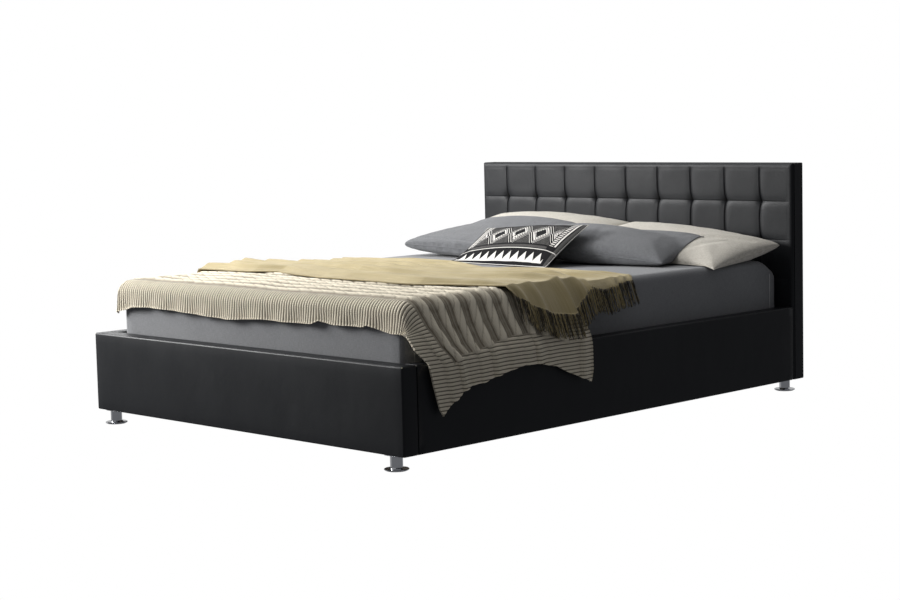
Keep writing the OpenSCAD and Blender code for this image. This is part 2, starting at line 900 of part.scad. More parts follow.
module knit_blanket() {
    fall_y = bed_foot - lift - blanket_t;
    color([0.76, 0.71, 0.62]) {
        intersection() {
            rotate([90, 0, 0])
                translate([0, 0, -blanket_end])
                    linear_extrude(blanket_end - foot_y + past) blanket_section();
            rotate([90, 0, 90])
                translate([0, 0, far_x])
                    linear_extrude(drape_x + blanket_t - far_x) blanket_outline();
        }
        // The falls over the mattress's foot end and its far side
        span([far_x, fall_y, blanket_top - foot_fall], [edge_x, fall_y + blanket_t, blanket_top]);
        span([far_x, fall_y, blanket_top - far_fall], [far_x + blanket_t, blanket_end, blanket_top]);
    }
}

throw_low = blanket_top + lift;
throw_foot = blanket_end - throw_lap;
throw_head = throw_foot + throw_w;
tassel_r = 3;
// Length over which the throw comes down from the blanket to the sheet
ramp = 2 * blanket_t;

// Side view of the throw: on the blanket, then down onto the sheet
module throw_section() {
    polygon([[throw_foot, throw_low], [blanket_end + lift, throw_low],
             [blanket_end + ramp, bed_top + lift], [throw_head, bed_top + lift],
             [throw_head, bed_top + lift + throw_t], [blanket_end + ramp + throw_t, bed_top + lift + throw_t],
             [blanket_end + throw_t, throw_low + throw_t], [throw_foot, throw_low + throw_t]]);
}

// A frame at the bend of the throw's near end, turned so that -Z runs down its slope
module down_the_slope() {
    translate([bend_x + lift, 0, throw_low]) rotate([0, -slope_a, 0]) children();
}

// Cross-section of the throw's near end, from under_z on the bed to its fall down the slope
module throw_end_section(under_z) {
    inner_x = bend_x + lift;
    top_z = throw_low + throw_t;
    down_x = throw_fall * sin(slope_a);
    down_z = throw_fall * cos(slope_a);
    out_x = throw_t * cos(slope_a);
    out_z = throw_t * sin(slope_a);
    polygon([[bend_x - throw_t, under_z], [inner_x + (throw_low - under_z) * tan(slope_a), under_z],
             [inner_x + down_x, throw_low - down_z],
             [inner_x + down_x + out_x, throw_low - down_z + out_z],
             [inner_x + out_x - (throw_t - out_z) * tan(slope_a), top_z], [bend_x - throw_t, top_z]]);
}

// Stretches a cross-section along the bed between two places
module along_bed(from_y, to_y) {
    rotate([90, 0, 0]) translate([0, 0, -to_y]) linear_extrude(to_y - from_y) children();
}

module throw() {
    far_side = far_x - lift;
    color([0.74, 0.66, 0.44]) {
        rotate([90, 0, 90])
            translate([0, 0, far_side - throw_t])
                linear_extrude(bend_x - far_side) throw_section();
        along_bed(throw_foot, throw_head) throw_end_section(throw_low);
        along_bed(blanket_end + ramp, throw_head) throw_end_section(bed_top + lift);
        // The fall over the far side, down to where its fringe starts
        span([far_side - throw_t, throw_foot, throw_low - far_fall], [far_side, throw_head, throw_low + throw_t]);
    }
}

// One end's tassels: they hang from z = 0
module tassel_row() {
    pitch = throw_w / tassels;
    for (i = [0:tassels - 1])
        translate([throw_t / 2, throw_foot + (i + 0.5) * pitch, -fringe_l])
            cylinder(r = tassel_r, h = fringe_l - fit_gap, $fn = 16);
}

module throw_fringe() {
    color([0.35, 0.32, 0.24]) {
        down_the_slope() translate([0, 0, -throw_fall]) tassel_row();
        translate([far_x - lift - throw_t, 0, throw_low - far_fall]) tassel_row();
    }
}

headboard_cover();
headboard_back_cover();
headboard_foam();
headboard_panel();
headboard_frame();
tuft_buttons();
footboard_cover();
footboard_foam();
footboard_pad();
footboard_panel();
footboard_frame();
side_rail_left_cover();
side_rail_left_foam();
side_rail_left_board();
side_rail_right_cover();
side_rail_right_foam();
side_rail_right_board();
corner_brackets();
bracket_bolts();
slat_ledger_left();
slat_ledger_right();
ledger_screws();
centre_beam();
beam_hangers();
hanger_bolts();
slats_left();
slats_right();
slat_end_caps();
slat_centre_caps();
leg_tubes();
leg_plates();
leg_bases();
leg_glides();
leg_screws();
centre_posts();
centre_post_plugs();
support_foot_front();
support_foot_middle();
support_foot_rear();
mattress_core();
mattress_comfort_layer();
mattress_ticking();
fitted_sheet();
pillow_cream_left();
pillow_cream_right();
pillow_grey_left();
pillow_grey_right();
accent_cushion();
knit_blanket();
throw();
throw_fringe();
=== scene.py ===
"""The looks of an upholstered bed and its bedding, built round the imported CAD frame, in metres."""

import math
import bpy
import numpy as np
from mathutils import Matrix, Vector, noise
from mathutils.bvhtree import BVHTree
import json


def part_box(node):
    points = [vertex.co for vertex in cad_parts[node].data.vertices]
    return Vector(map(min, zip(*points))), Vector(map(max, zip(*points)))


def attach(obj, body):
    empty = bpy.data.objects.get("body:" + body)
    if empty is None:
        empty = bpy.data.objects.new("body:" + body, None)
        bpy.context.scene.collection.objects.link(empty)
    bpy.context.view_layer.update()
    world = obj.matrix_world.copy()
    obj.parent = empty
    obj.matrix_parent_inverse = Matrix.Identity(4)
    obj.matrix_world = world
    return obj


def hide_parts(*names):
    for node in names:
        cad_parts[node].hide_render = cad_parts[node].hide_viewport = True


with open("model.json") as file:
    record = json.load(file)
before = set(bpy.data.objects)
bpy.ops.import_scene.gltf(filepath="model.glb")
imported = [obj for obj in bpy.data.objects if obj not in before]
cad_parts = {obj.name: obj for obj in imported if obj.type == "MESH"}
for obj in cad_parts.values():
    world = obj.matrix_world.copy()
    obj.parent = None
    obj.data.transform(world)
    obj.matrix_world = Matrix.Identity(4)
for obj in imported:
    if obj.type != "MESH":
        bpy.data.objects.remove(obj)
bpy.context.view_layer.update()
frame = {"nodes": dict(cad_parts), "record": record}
scene = bpy.context.scene
nodes = frame["nodes"]

# ---------- Camera ----------

CAMERA_PLACE = Vector((4.985, -5.025, 1.107))
CAMERA_TURN = math.radians(45.0)
CAMERA_DIP = math.radians(5.66)
CAMERA_ROLL = math.radians(-1.365)
CAMERA_LENS = 75.3


def make_camera():
    """The photograph's view: from the near foot corner, a little above the bed."""
    ahead = Vector((-math.sin(CAMERA_TURN) * math.cos(CAMERA_DIP),
                    math.cos(CAMERA_TURN) * math.cos(CAMERA_DIP), -math.sin(CAMERA_DIP)))
    level = Vector((math.cos(CAMERA_TURN), math.sin(CAMERA_TURN), 0))
    upright = level.cross(ahead)
    right = math.cos(CAMERA_ROLL) * level + math.sin(CAMERA_ROLL) * upright
    up = -math.sin(CAMERA_ROLL) * level + math.cos(CAMERA_ROLL) * upright
    data = bpy.data.cameras.new("camera")
    data.lens = CAMERA_LENS
    data.sensor_width = 36
    data.clip_end = 200
    camera = bpy.data.objects.new("camera", data)
    camera.matrix_world = Matrix.Translation(CAMERA_PLACE) @ Matrix((right, up, -ahead)).transposed().to_4x4()
    scene.collection.objects.link(camera)
    scene.camera = camera


make_camera()

# ---------- Sizes taken from the frame ----------

HEAD_LOW, HEAD_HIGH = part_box("headboard_cover")
FOOT_LOW, FOOT_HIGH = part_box("footboard_cover")
RAIL_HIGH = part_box("side_rail_right_cover")[1]
BED_LOW, BED_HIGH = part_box("fitted_sheet")
BED_TOP = BED_HIGH.z
RAIL_TOP = RAIL_HIGH.z

# ---------- Node patterns written as sums ----------


class Num:
    """A number in a node tree, so that a pattern can be written as a formula."""

    def __init__(self, tree, socket):
        self.tree, self.socket = tree, socket

    def op(self, kind, *others):
        node = self.tree.nodes.new("ShaderNodeMath")
        node.operation = kind
        for i, value in enumerate((self, *others)):
            if isinstance(value, Num):
                self.tree.links.new(value.socket, node.inputs[i])
            else:
                node.inputs[i].default_value = value
        return Num(self.tree, node.outputs[0])

    def __add__(self, other): return self.op("ADD", other)
    def __sub__(self, other): return self.op("SUBTRACT", other)
    def __mul__(self, other): return self.op("MULTIPLY", other)
    def __truediv__(self, other): return self.op("DIVIDE", other)
    def __lt__(self, other): return self.op("LESS_THAN", other)
    def __gt__(self, other): return self.op("GREATER_THAN", other)
    def abs(self): return self.op("ABSOLUTE")
    def sin(self): return self.op("SINE")
    def wrap(self, low, high): return self.op("WRAP", high, low)
    def max(self, other): return self.op("MAXIMUM", other)
    def min(self, other): return self.op("MINIMUM", other)


class Look:
    """A material being built: a Principled shader, its tree and short ways to add nodes."""

    def __init__(self, name, rough=0.5, metallic=0.0, specular=0.5, sheen=0.0, sheen_rough=0.5):
        self.material = bpy.data.materials.new(name)
        self.material.use_nodes = True
        self.tree = self.material.node_tree
        self.shader = self.tree.nodes["Principled BSDF"]
        self.set("Roughness", rough)
        self.set("Metallic", metallic)
        self.set("Specular IOR Level", specular)
        self.set("Sheen Weight", sheen)
        self.set("Sheen Roughness", sheen_rough)

    def set(self, name, value):
        self.shader.inputs[name].default_value = value

    def link(self, value, name):
        self.tree.links.new(getattr(value, "socket", value), self.shader.inputs[name])

    def place(self, kind="Object"):
        node = self.tree.nodes.new("ShaderNodeTexCoord")
        return node.outputs[kind]

    def scaled(self, socket, scale):
        node = self.tree.nodes.new("ShaderNodeMapping")
        node.inputs["Scale"].default_value = scale
        self.tree.links.new(socket, node.inputs["Vector"])
        return node.outputs[0]

    def split(self, socket):
        node = self.tree.nodes.new("ShaderNodeSeparateXYZ")
        self.tree.links.new(socket, node.inputs[0])
        return [Num(self.tree, out) for out in node.outputs]

    def noise(self, socket, scale, detail=3.0, rough=0.5):
        node = self.tree.nodes.new("ShaderNodeTexNoise")
        node.inputs["Scale"].default_value = scale
        node.inputs["Detail"].default_value = detail
        node.inputs["Roughness"].default_value = rough
        self.tree.links.new(socket, node.inputs["Vector"])
        return Num(self.tree, node.outputs["Fac"])

    def cells(self, socket, scale):
        node = self.tree.nodes.new("ShaderNodeTexVoronoi")
        node.inputs["Scale"].default_value = scale
        self.tree.links.new(socket, node.inputs["Vector"])
        return Num(self.tree, node.outputs["Distance"])

    def attribute(self, name):
        node = self.tree.nodes.new("ShaderNodeAttribute")
        node.attribute_name = name
        return Num(self.tree, node.outputs["Fac"])

    def spread(self, value, low, high, to_low=0.0, to_high=1.0):
        node = self.tree.nodes.new("ShaderNodeMapRange")
        for name, number in (("From Min", low), ("From Max", high), ("To Min", to_low), ("To Max", to_high)):
            node.inputs[name].default_value = number
        self.tree.links.new(value.socket, node.inputs["Value"])
        return Num(self.tree, node.outputs["Result"])

    def mix(self, value, first, second):
        """A colour between two: each is a colour or another mix's socket."""
        node = self.tree.nodes.new("ShaderNodeMix")
        node.data_type = "RGBA"
        self.tree.links.new(value.socket, node.inputs[0])
        for slot, colour in ((6, first), (7, second)):
            if isinstance(colour, tuple):
                node.inputs[slot].default_value = (*colour, 1)
            else:
                self.tree.links.new(colour, node.inputs[slot])
        return node.outputs[2]

    def bump(self, value, height, before=None):
        """Adds a bump of that height in metres, on top of another bump's output."""
        node = self.tree.nodes.new("ShaderNodeBump")
        node.inputs["Distance"].default_value = height
        self.tree.links.new(value.socket, node.inputs["Height"])
        if before is not None:
            self.tree.links.new(before, node.inputs["Normal"])
        self.tree.links.new(node.outputs[0], self.shader.inputs["Normal"])
        return node.outputs[0]


# ---------- Materials ----------

RIB_PITCH = 0.0125


def leather_look(name, dark, light, rough):
    """Black faux leather: a fine pebbled grain, faint creases and slightly uneven gloss."""
    look = Look(name, specular=0.22)
    at = look.place()
    grain = look.cells(at, 900)
    crease = look.noise(look.scaled(at, (9, 9, 5)), 1.3, 3, 0.5)
    cloud = look.noise(at, 2.6, 3)
    look.link(look.mix(look.spread(cloud, 0.3, 0.7), dark, light), "Base Color")
    look.link(look.spread(crease + grain * 0.15, 0.35, 0.9, rough - 0.03, rough + 0.04), "Roughness")
    low = look.bump(look.spread(grain, 0.0, 0.55), 0.00010)
    look.bump(look.spread(crease, 0.3, 0.75), 0.0006, low)
    return look.material


def cloth_look(name, dark, light, pitch=0.0011, heather=0.5, sheen=0.25, bump=0.00025, rough=0.92):
    """A plain weave in UV metres: crossing threads, slubs along both ways and a soft sheen."""
    look = Look(name, rough=rough, specular=0.18, sheen=sheen)
    at = look.place("UV")
    x, y, _ = look.split(at)
    waves = math.tau / pitch
    weave = (x * waves).sin() * (y * waves).sin()
    along = look.noise(look.scaled(at, (55, 900, 1)), 1, 2)
    across = look.noise(look.scaled(at, (900, 55, 1)), 1, 2)
    cloud = look.noise(look.scaled(at, (6, 6, 6)), 1, 4)
    slub = look.spread(along + across, 1.0 - heather * 0.45, 1.0 + heather * 0.45)
    mixed = look.spread(slub * 0.75 + weave * 0.12 + cloud * 0.4, 0.1, 1.05)
    look.link(look.mix(mixed, dark, light), "Base Color")
    look.bump(weave * 0.6 + slub * 0.5, bump)
    return look.material


def knit_look():
    """Oatmeal wool with small stitches, its colour darkened between the raised cables and in the rib grooves
    as painted shade.
    """
    look = Look("oatmeal_knit", rough=0.95, specular=0.1, sheen=0.2)
    at = look.place("UV")
    x, y, _ = look.split(at)
    raised, ribbed = look.attribute("relief"), look.attribute("ribbed")
    rib = (x * (math.pi / RIB_PITCH)).sin().abs()
    groove = look.spread(rib, 0.10, 0.55)
    stitch = ((y * (math.tau / 0.0056)) + ((x * (math.tau / 0.0048)).sin() * 1.1)).sin()
    row = ((x * (math.tau / 0.0056)) + ((y * (math.tau / 0.0048)).sin() * 1.1)).sin()
    cloud = look.noise(look.scaled(at, (34, 34, 1)), 1, 3)
    # Painted shade: the colour darkens where the knit's relief is low, between the cables, and in the rib
    # grooves
    body = look.spread(raised + cloud * 0.40 + stitch * 0.10, 0.22, 1.06)
    shade = body * (ribbed * -1 + 1) + (groove * 0.85 + cloud * 0.2 + row * 0.04) * ribbed
    # The dark end of this mix is the painted shade between the cables and ribs
    look.link(look.mix(look.spread(shade, 0.0, 1.0), (0.100, 0.074, 0.042), (0.86, 0.78, 0.62)), "Base Color")
    yarn = look.noise(look.scaled(at, (700, 700, 1)), 1, 2)
    low = look.bump(groove * ribbed, 0.003)
    look.bump(stitch * 0.5 + yarn * 0.8, 0.0009, low)
    return look.material


def throw_look():
    """Straw-coloured brushed weave with fine diagonal twill."""
    look = Look("straw_throw", rough=0.95, specular=0.1, sheen=0.35)
    at = look.place("UV")
    x, y, _ = look.split(at)
    twill = ((x + y) * (math.tau / 0.0024)).sin()
    streak = look.noise(look.scaled(at, (9, 260, 1)), 1, 3)
    cloud = look.noise(look.scaled(at, (7, 7, 1)), 1, 4)
    shade = look.spread(streak * 0.6 + cloud * 0.6 + twill * 0.06, 0.35, 0.85)
    look.link(look.mix(shade, (0.40, 0.32, 0.155), (0.62, 0.52, 0.30)), "Base Color")
    look.bump(twill * 0.5 + streak, 0.0005)
    return look.material


def fringe_look():
    """Twisted strands, some straw and some near black: the shade is stored on each strand."""
    look = Look("fringe_yarn", rough=0.95, specular=0.1, sheen=0.25)
    shade = look.attribute("strand")
    at = look.place()
    fuzz = look.noise(at, 900, 2)
    look.link(look.mix(look.spread(shade + fuzz * 0.2, 0.1, 1.1), (0.020, 0.017, 0.014), (0.46, 0.37, 0.18)),
              "Base Color")
    look.bump(fuzz, 0.0006)
    return look.material


def pattern_look():
    """The cushion's woven pattern in UV metres: framed diamonds over a zigzag, with dashes at both ends."""
    look = Look("patterned_cushion", rough=0.93, specular=0.06, sheen=0.04)
    at = look.place("UV")
    x, y, _ = look.split(at)
    dots = ((x * (math.tau / 0.0150)).sin() * (y * (math.tau / 0.0150)).sin()) > -0.30
    grid = ((x * (math.tau / 0.0070)).sin() * (y * (math.tau / 0.0070)).sin()) > 0.1
    # A row of framed diamonds with crossing lines between them
    cell, tall, middle = 0.122, 0.066, 0.034
    across = x.wrap(-cell / 2, cell / 2).abs() / (cell / 2)
    up = (y - middle).abs() / tall
    diamond = across + up
    frames = (diamond > 0.48) * (diamond < 0.78) * dots
    lines = ((diamond > 0.90) * (diamond < 0.97)).max((diamond > 1.12) * (diamond < 1.17))
    between = (diamond > 1.24) * grid * 0.22
    in_row = (up < 1.0) * (x.abs() < 0.222)
    row = (frames.max(lines).max(between)) * in_row
    # Bands above and below the row, and the zigzag along the bottom edge
    heather = ((y > 0.112).max((y < -0.040) * (y > -0.052))) * 0.14
    thin = (y < -0.056) * (y > -0.060)
    tooth = x.wrap(-0.022, 0.022).abs() / 0.022
    zigzag = (y < -0.074) * (y > -0.122) * ((y * -1 - 0.074) > (tooth * 0.040))
    # Dashes and stripes across both ends
    end = x.abs()
    dashes = (end > 0.226) * (end < 0.248) * (y.wrap(0.0, 0.011) < 0.0060) * (y > -0.030)
    streaks = (end > 0.253) * (end < 0.262) * (y > -0.030)
    rim = (end > 0.270) * 0.14
    plain = (x > 0.6) * 0.26
    bands = row.max(heather * (end < 0.222)).max(thin).max(zigzag * (end < 0.25))
    figure = bands.max(dashes).max(streaks).max(rim)
    white = (figure * (x < 0.6)).max(plain)
    fuzz = look.noise(look.scaled(at, (600, 600, 1)), 1, 2)
    shade = look.spread(white + (fuzz - 0.5) * 0.34, 0.06, 0.94)
    look.link(look.mix(shade, (0.011, 0.0108, 0.012), (0.76, 0.74, 0.70)), "Base Color")
    look.bump(white * 0.6 + fuzz * 0.6, 0.0006)
    return look.material


def wood_look(name, dark, light, along):
    """Sawn timber: growth rings stretched along one axis, with pores."""
    look = Look(name, rough=0.55, specular=0.3)
    at = look.place()
    stretch = tuple(2.2 if i == along else 26 for i in range(3))
    rings = look.noise(look.scaled(at, stretch), 1, 5, 0.62)
    pores = look.noise(look.scaled(at, tuple(s * 9 for s in stretch)), 1, 2)
    bands = ((rings * 34).sin() * 0.5 + 0.5) * 0.5 + pores * 0.4
    look.link(look.mix(look.spread(bands, 0.1, 0.9), dark, light), "Base Color")
    look.link(look.spread(pores, 0.3, 0.7, 0.45, 0.65), "Roughness")
    look.bump(bands, 0.0003)
    return look.material


def metal_look(name, colour, rough, brushed):
    """Metal with fine drawn lines and faint smudges in its gloss."""
    look = Look(name, rough=rough, metallic=1.0)
    at = look.place()
    lines = look.noise(look.scaled(at, (40, 40, 1400)), 1, 2)
    smudge = look.noise(at, 22, 3)
    dim = tuple(c * 0.88 for c in colour)
    look.link(look.mix(look.spread(smudge, 0.35, 0.7), dim, colour), "Base Color")
    look.link(look.spread(lines * 0.5 + smudge * 0.5, 0.3, 0.7, rough * 0.7, rough * 1.4), "Roughness")
    look.bump(lines, brushed)
    return look.material


def coated_look(name, colour, rough, grain):
    """Powder coat or moulded plastic: an orange-peel skin and dusty variation."""
    look = Look(name, specular=0.4)
    at = look.place()
    peel = look.noise(at, 420, 2)
    dust = look.noise(at, 9, 4)
    lighter = tuple(min(1, c * 1.7 + 0.01) for c in colour)
    look.link(look.mix(look.spread(dust, 0.4, 0.8), colour, lighter), "Base Color")
    look.link(look.spread(dust, 0.3, 0.7, rough - 0.06, rough + 0.08), "Roughness")
    look.bump(peel, grain)
    return look.material


LOOKS = {
    "leather": leather_look("black_leather", (0.0098, 0.0106, 0.0124), (0.0126, 0.0136, 0.0157), 0.42),
    "lining": cloth_look("black_lining", (0.012, 0.012, 0.013), (0.030, 0.030, 0.031), 0.0016),
    "foam": coated_look("upholstery_foam", (0.70, 0.62, 0.40), 0.9, 0.0008),
    "plywood": wood_look("plywood", (0.42, 0.29, 0.16), (0.68, 0.52, 0.33), 0),
    "timber": wood_look("pine", (0.50, 0.35, 0.19), (0.74, 0.58, 0.37), 1),
    "slat_wood": wood_look("birch_slats", (0.55, 0.40, 0.24), (0.80, 0.66, 0.46), 0),
    "black_steel": coated_look("black_powder_coat", (0.018, 0.018, 0.019), 0.42, 0.0002),
    "zinc_steel": metal_look("zinc_plate", (0.60, 0.60, 0.63), 0.32, 0.0001),
    "chrome": metal_look("polished_chrome", (0.86, 0.87, 0.89), 0.06, 0.000004),
    "black_plastic": coated_look("black_plastic", (0.020, 0.020, 0.021), 0.5, 0.0003),
    "felt": cloth_look("felt_glide", (0.02, 0.02, 0.02), (0.06, 0.06, 0.06), 0.003, 1.0),
    "ticking": cloth_look("quilted_ticking", (0.62, 0.62, 0.60), (0.80, 0.80, 0.78), 0.002),
    "sheet": cloth_look("heather_sheet", (0.165, 0.168, 0.174), (0.315, 0.318, 0.327), 0.0016, 0.9),
    "cream_cotton": cloth_look("cream_cotton", (0.56, 0.52, 0.44), (0.78, 0.74, 0.66), 0.0012, 0.3),
    "grey_cotton": cloth_look("heather_grey", (0.095, 0.098, 0.104), (0.235, 0.240, 0.250), 0.0016, 0.9),
    "patterned_fabric": pattern_look(),
    "oatmeal_knit": knit_look(),
    "straw_throw": throw_look(),
    "fringe": fringe_look(),
}

# ---------- Mesh helpers ----------


def add_mesh(name, points, faces, slot, body, replaced=(), uv=None, attributes=None):
    """A smooth mesh object with its material, its body and the CAD nodes that it stands for.
    uv is one pair for each point, or one for each face corner."""
    mesh = bpy.data.meshes.new(name)
    mesh.from_pydata([tuple(p) for p in points], [], [tuple(int(i) for i in f) for f in faces])
    mesh.shade_smooth()
    if uv is not None:
        layer = mesh.uv_layers.new(name="UVMap")
        corner = np.zeros(len(mesh.loops), np.int32)
        mesh.loops.foreach_get("vertex_index", corner)
        pairs = np.asarray(uv, np.float32)
        if len(pairs) == len(points):
            pairs = pairs[corner]
        layer.data.foreach_set("uv", pairs.ravel())
    for key, values in (attributes or {}).items():
        mesh.attributes.new(key, "FLOAT", "POINT").data.foreach_set("value", np.asarray(values, np.float32))
    piece = bpy.data.objects.new(name, mesh)
    scene.collection.objects.link(piece)
    mesh.materials.append(LOOKS[slot])
    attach(piece, body)
    if replaced:
        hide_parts(*replaced)
    return piece


def grid_faces(rows, columns, first=0, flip=False):
    """Quads of a grid whose points are numbered row by row."""
    i, j = np.meshgrid(np.arange(rows - 1), np.arange(columns - 1), indexing="ij")
    a = (first + i * columns + j).ravel()
    quads = np.stack([a, a + columns, a + columns + 1, a + 1], 1)
    return quads[:, ::-1] if flip else quads


def rim_loop(rows, columns):
    """The row and column of each point round a grid's rim, in order."""
    return ([(0, j) for j in range(columns)] + [(i, columns - 1) for i in range(1, rows)]
            + [(rows - 1, j) for j in range(columns - 2, -1, -1)] + [(i, 0) for i in range(rows - 2, 0, -1)])


def grid_normals(points):
    """Unit normals of a grid of points, from its neighbours."""
    along = np.gradient(points, axis=0)
    across = np.gradient(points, axis=1)
    normal = np.cross(along, across)
    return normal / np.maximum(np.linalg.norm(normal, axis=2, keepdims=True), 1e-12)


def smooth_noise(x, y, scale, seed, octaves=2):
    """Smooth noise over two arrays of places, about -1 to 1."""
    flat = [noise.fractal(Vector((a * scale, b * scale, seed * 7.31)), 1.0, 2.0, octaves)
            for a, b in zip(np.ravel(x), np.ravel(y))]
    return np.asarray(flat).reshape(np.shape(x))


def coarse_noise(x, y, scale, seed, octaves=2, cells=90):
    """smooth_noise read from a coarse grid, for surfaces with very many points."""
    gx = np.linspace(x.min(), x.max(), cells)
    gy = np.linspace(y.min(), y.max(), cells)
    table = smooth_noise(*np.meshgrid(gx, gy, indexing="ij"), scale, seed, octaves)
    fx = np.clip((x - gx[0]) / (gx[-1] - gx[0]) * (cells - 1), 0, cells - 1.001)
    fy = np.clip((y - gy[0]) / (gy[-1] - gy[0]) * (cells - 1), 0, cells - 1.001)
    ix, iy = fx.astype(int), fy.astype(int)
    rx, ry = fx - ix, fy - iy
    return ((table[ix, iy] * (1 - rx) + table[ix + 1, iy] * rx) * (1 - ry)
            + (table[ix, iy + 1] * (1 - rx) + table[ix + 1, iy + 1] * rx) * ry)


def step_up(x, low, high):
    """0 below low, 1 above high, smooth between."""
    t = np.clip((x - low) / (high - low), 0, 1)
    return t * t * (3 - 2 * t)


def ticks(low, high, bend_low, bend_high, step):
    """Places along one side of a rounded box: close together within each rounded edge."""
    arc = 1 - np.cos(np.linspace(0, math.pi / 2, 6)[:-1])
    count = max(2, int((high - low - bend_low - bend_high) / step) + 1)
    inner = np.linspace(low + bend_low, high - bend_high, count)
    return np.unique(np.round(np.concatenate([low + bend_low * arc, inner, high - bend_high * arc]), 7))


def rounded_box(low, high, radius, step, shape=None, flat="", extra=((), (), ())):
    """Points, faces and face-corner UVs in metres of a box with rounded edges.
    flat names the ends of Y or Z that keep square edges, such as "y+".
    shape moves the points: shape(points, normals) -> points.
    extra gives more places for points along each axis."""
    low, high = np.array(low, float), np.array(high, float)
    ends = {name: 0.0 if name in flat else radius for name in ("y-", "y+", "z-", "z+")}
    bend_low = np.array([radius, ends["y-"], ends["z-"]])
    bend_high = np.array([radius, ends["y+"], ends["z+"]])
    places = [np.unique(np.concatenate([ticks(low[k], high[k], bend_low[k], bend_high[k], step), extra[k]]))
              for k in range(3)]
    points, faces, sides = [], [], []
    count = 0
    for axis in range(3):
        a, b = [k for k in range(3) if k != axis]
        for end, value in ((0, low[axis]), (1, high[axis])):
            ga, gb = np.meshgrid(places[a], places[b], indexing="ij")
            face_points = np.zeros((*ga.shape, 3))
            face_points[..., a], face_points[..., b], face_points[..., axis] = ga, gb, value
            quads = grid_faces(*ga.shape, first=count, flip=(end == 1) == (axis == 1))
            points.append(face_points.reshape(-1, 3))
            faces.append(quads)
            sides += [axis] * len(quads)
            count += ga.size
    points, faces = np.concatenate(points), np.concatenate(faces)
    uv = np.zeros((len(faces) * 4, 2))
    for axis in range(3):
        chosen = np.repeat(np.array(sides) == axis, 4)
        a, b = [k for k in range(3) if k != axis]
        uv[chosen] = points[faces.ravel()[chosen]][:, [a, b]]
    points, where = np.unique(np.round(points, 6), axis=0, return_inverse=True)
    faces = where.ravel()[faces]
    core = np.clip(points, low + bend_low, high - bend_high)
    away = points - core
    reach = np.linalg.norm(away, axis=1, keepdims=True)
    normals = away / np.maximum(reach, 1e-9)
    points = np.where(reach > 1e-7, core + normals * radius, points)
    if shape is not None:
        points = shape(points, normals)
    return points, faces, uv


# ---------- Upholstered frame ----------

TUFT_PITCH = 0.168
TUFT_COLUMNS = TUFT_PITCH * np.arange(-4, 5)
TUFT_ROWS = np.array([HEAD_HIGH.z - 0.148 * k for k in (1, 2, 3)])
CORNER_R = 0.005
FRONT_R = 0.013
PANEL_R = 0.0065


def offset_from(values, x):
    """Signed distance from the nearest of some values to each x."""
    gaps = np.subtract.outer(x, values)
    return np.take_along_axis(gaps, np.argmin(np.abs(gaps), axis=-1)[..., None], -1)[..., 0]


def tufted(points, normals):
    """Sinks the headboard's front into flat squares: crisp folds between points that are pulled in."""
    front = points[:, 1] < HEAD_LOW.y + 0.010
    x, z = points[front, 0], points[front, 2]
    over_z = offset_from(TUFT_ROWS, z)
    near_z = np.abs(over_z)
    bow = 0.005 * (1 - np.exp(-near_z / 0.022))
    over_x = offset_from(TUFT_COLUMNS, x + bow)
    near_x = np.abs(over_x)
    to_side, to_top = HEAD_HIGH.x - np.abs(x), HEAD_HIGH.z - z
    to_edge = np.minimum(np.minimum(to_top, z - HEAD_LOW.z), to_side)
    inside = step_up(to_edge, 0.012, 0.034)
    above = step_up(z, TUFT_ROWS[-1] - 0.17, TUFT_ROWS[-1] - 0.03)
    # Each upright fold is sharp on its left and opens slowly on its right, as each level one does below it
    wide_x, wide_z = np.where(over_x < 0, 0.0016, 0.0060), np.where(over_z > 0, 0.0020, 0.0050)
    upright = np.exp(-((over_x / wide_x) ** 2)) * (0.55 + 0.45 * np.exp(-near_z / 0.05))
    level = np.exp(-((over_z / wide_z) ** 2)) * (0.16 + 0.84 * np.exp(-near_x / 0.022))
    point = np.exp(-np.hypot(over_x, over_z * 0.9) / 0.0095)
    valley = np.maximum(np.exp(-((near_x / 0.016) ** 2)), np.exp(-((near_z / 0.014) ** 2)) * 0.8)
    sink = np.maximum(0.0042 * upright, 0.0036 * level) + 0.0014 * valley + 0.0110 * point
    edge = np.clip(1 - to_edge / FRONT_R, 0, 1)
    rounded = FRONT_R * (1 - np.sqrt(1 - edge ** 2)) * 0.8
    crease = 0.0012 * np.exp(-(((to_edge - 0.017) / 0.0026) ** 2))
    wave = 0.0005 * coarse_noise(x, z, 7, 3)
    moved = points.copy()
    moved[front, 1] += sink * above * inside + rounded + crease + wave * inside
    return moved


def fold_places(columns):
    """Extra places beside each fold of the headboard, so that the folds come out crisp."""
    steps = np.array([-0.0030, -0.0012, 0.0, 0.0022, 0.0044, 0.0070])
    return np.add.outer(columns, steps).ravel()


def plump(axis, sign, amount, seed):
    """A shape that swells one outer face of a panel a little, unevenly, away from its edges."""
    def shape(points, normals):
        face = points[:, axis] * sign
        outer = face > face.max() - 0.001
        other = [k for k in (0, 1, 2) if k != axis]
        room = np.min([np.minimum(points[:, k] - points[:, k].min(), points[:, k].max() - points[:, k])
                       for k in other], axis=0)
        wave = coarse_noise(points[:, other[0]], points[:, other[1]], 3.2, seed)
        moved = points.copy()
        moved[:, axis] += sign * outer * amount * step_up(room, 0.004, 0.06) * (0.6 + 0.4 * wave)
        return moved
    return shape


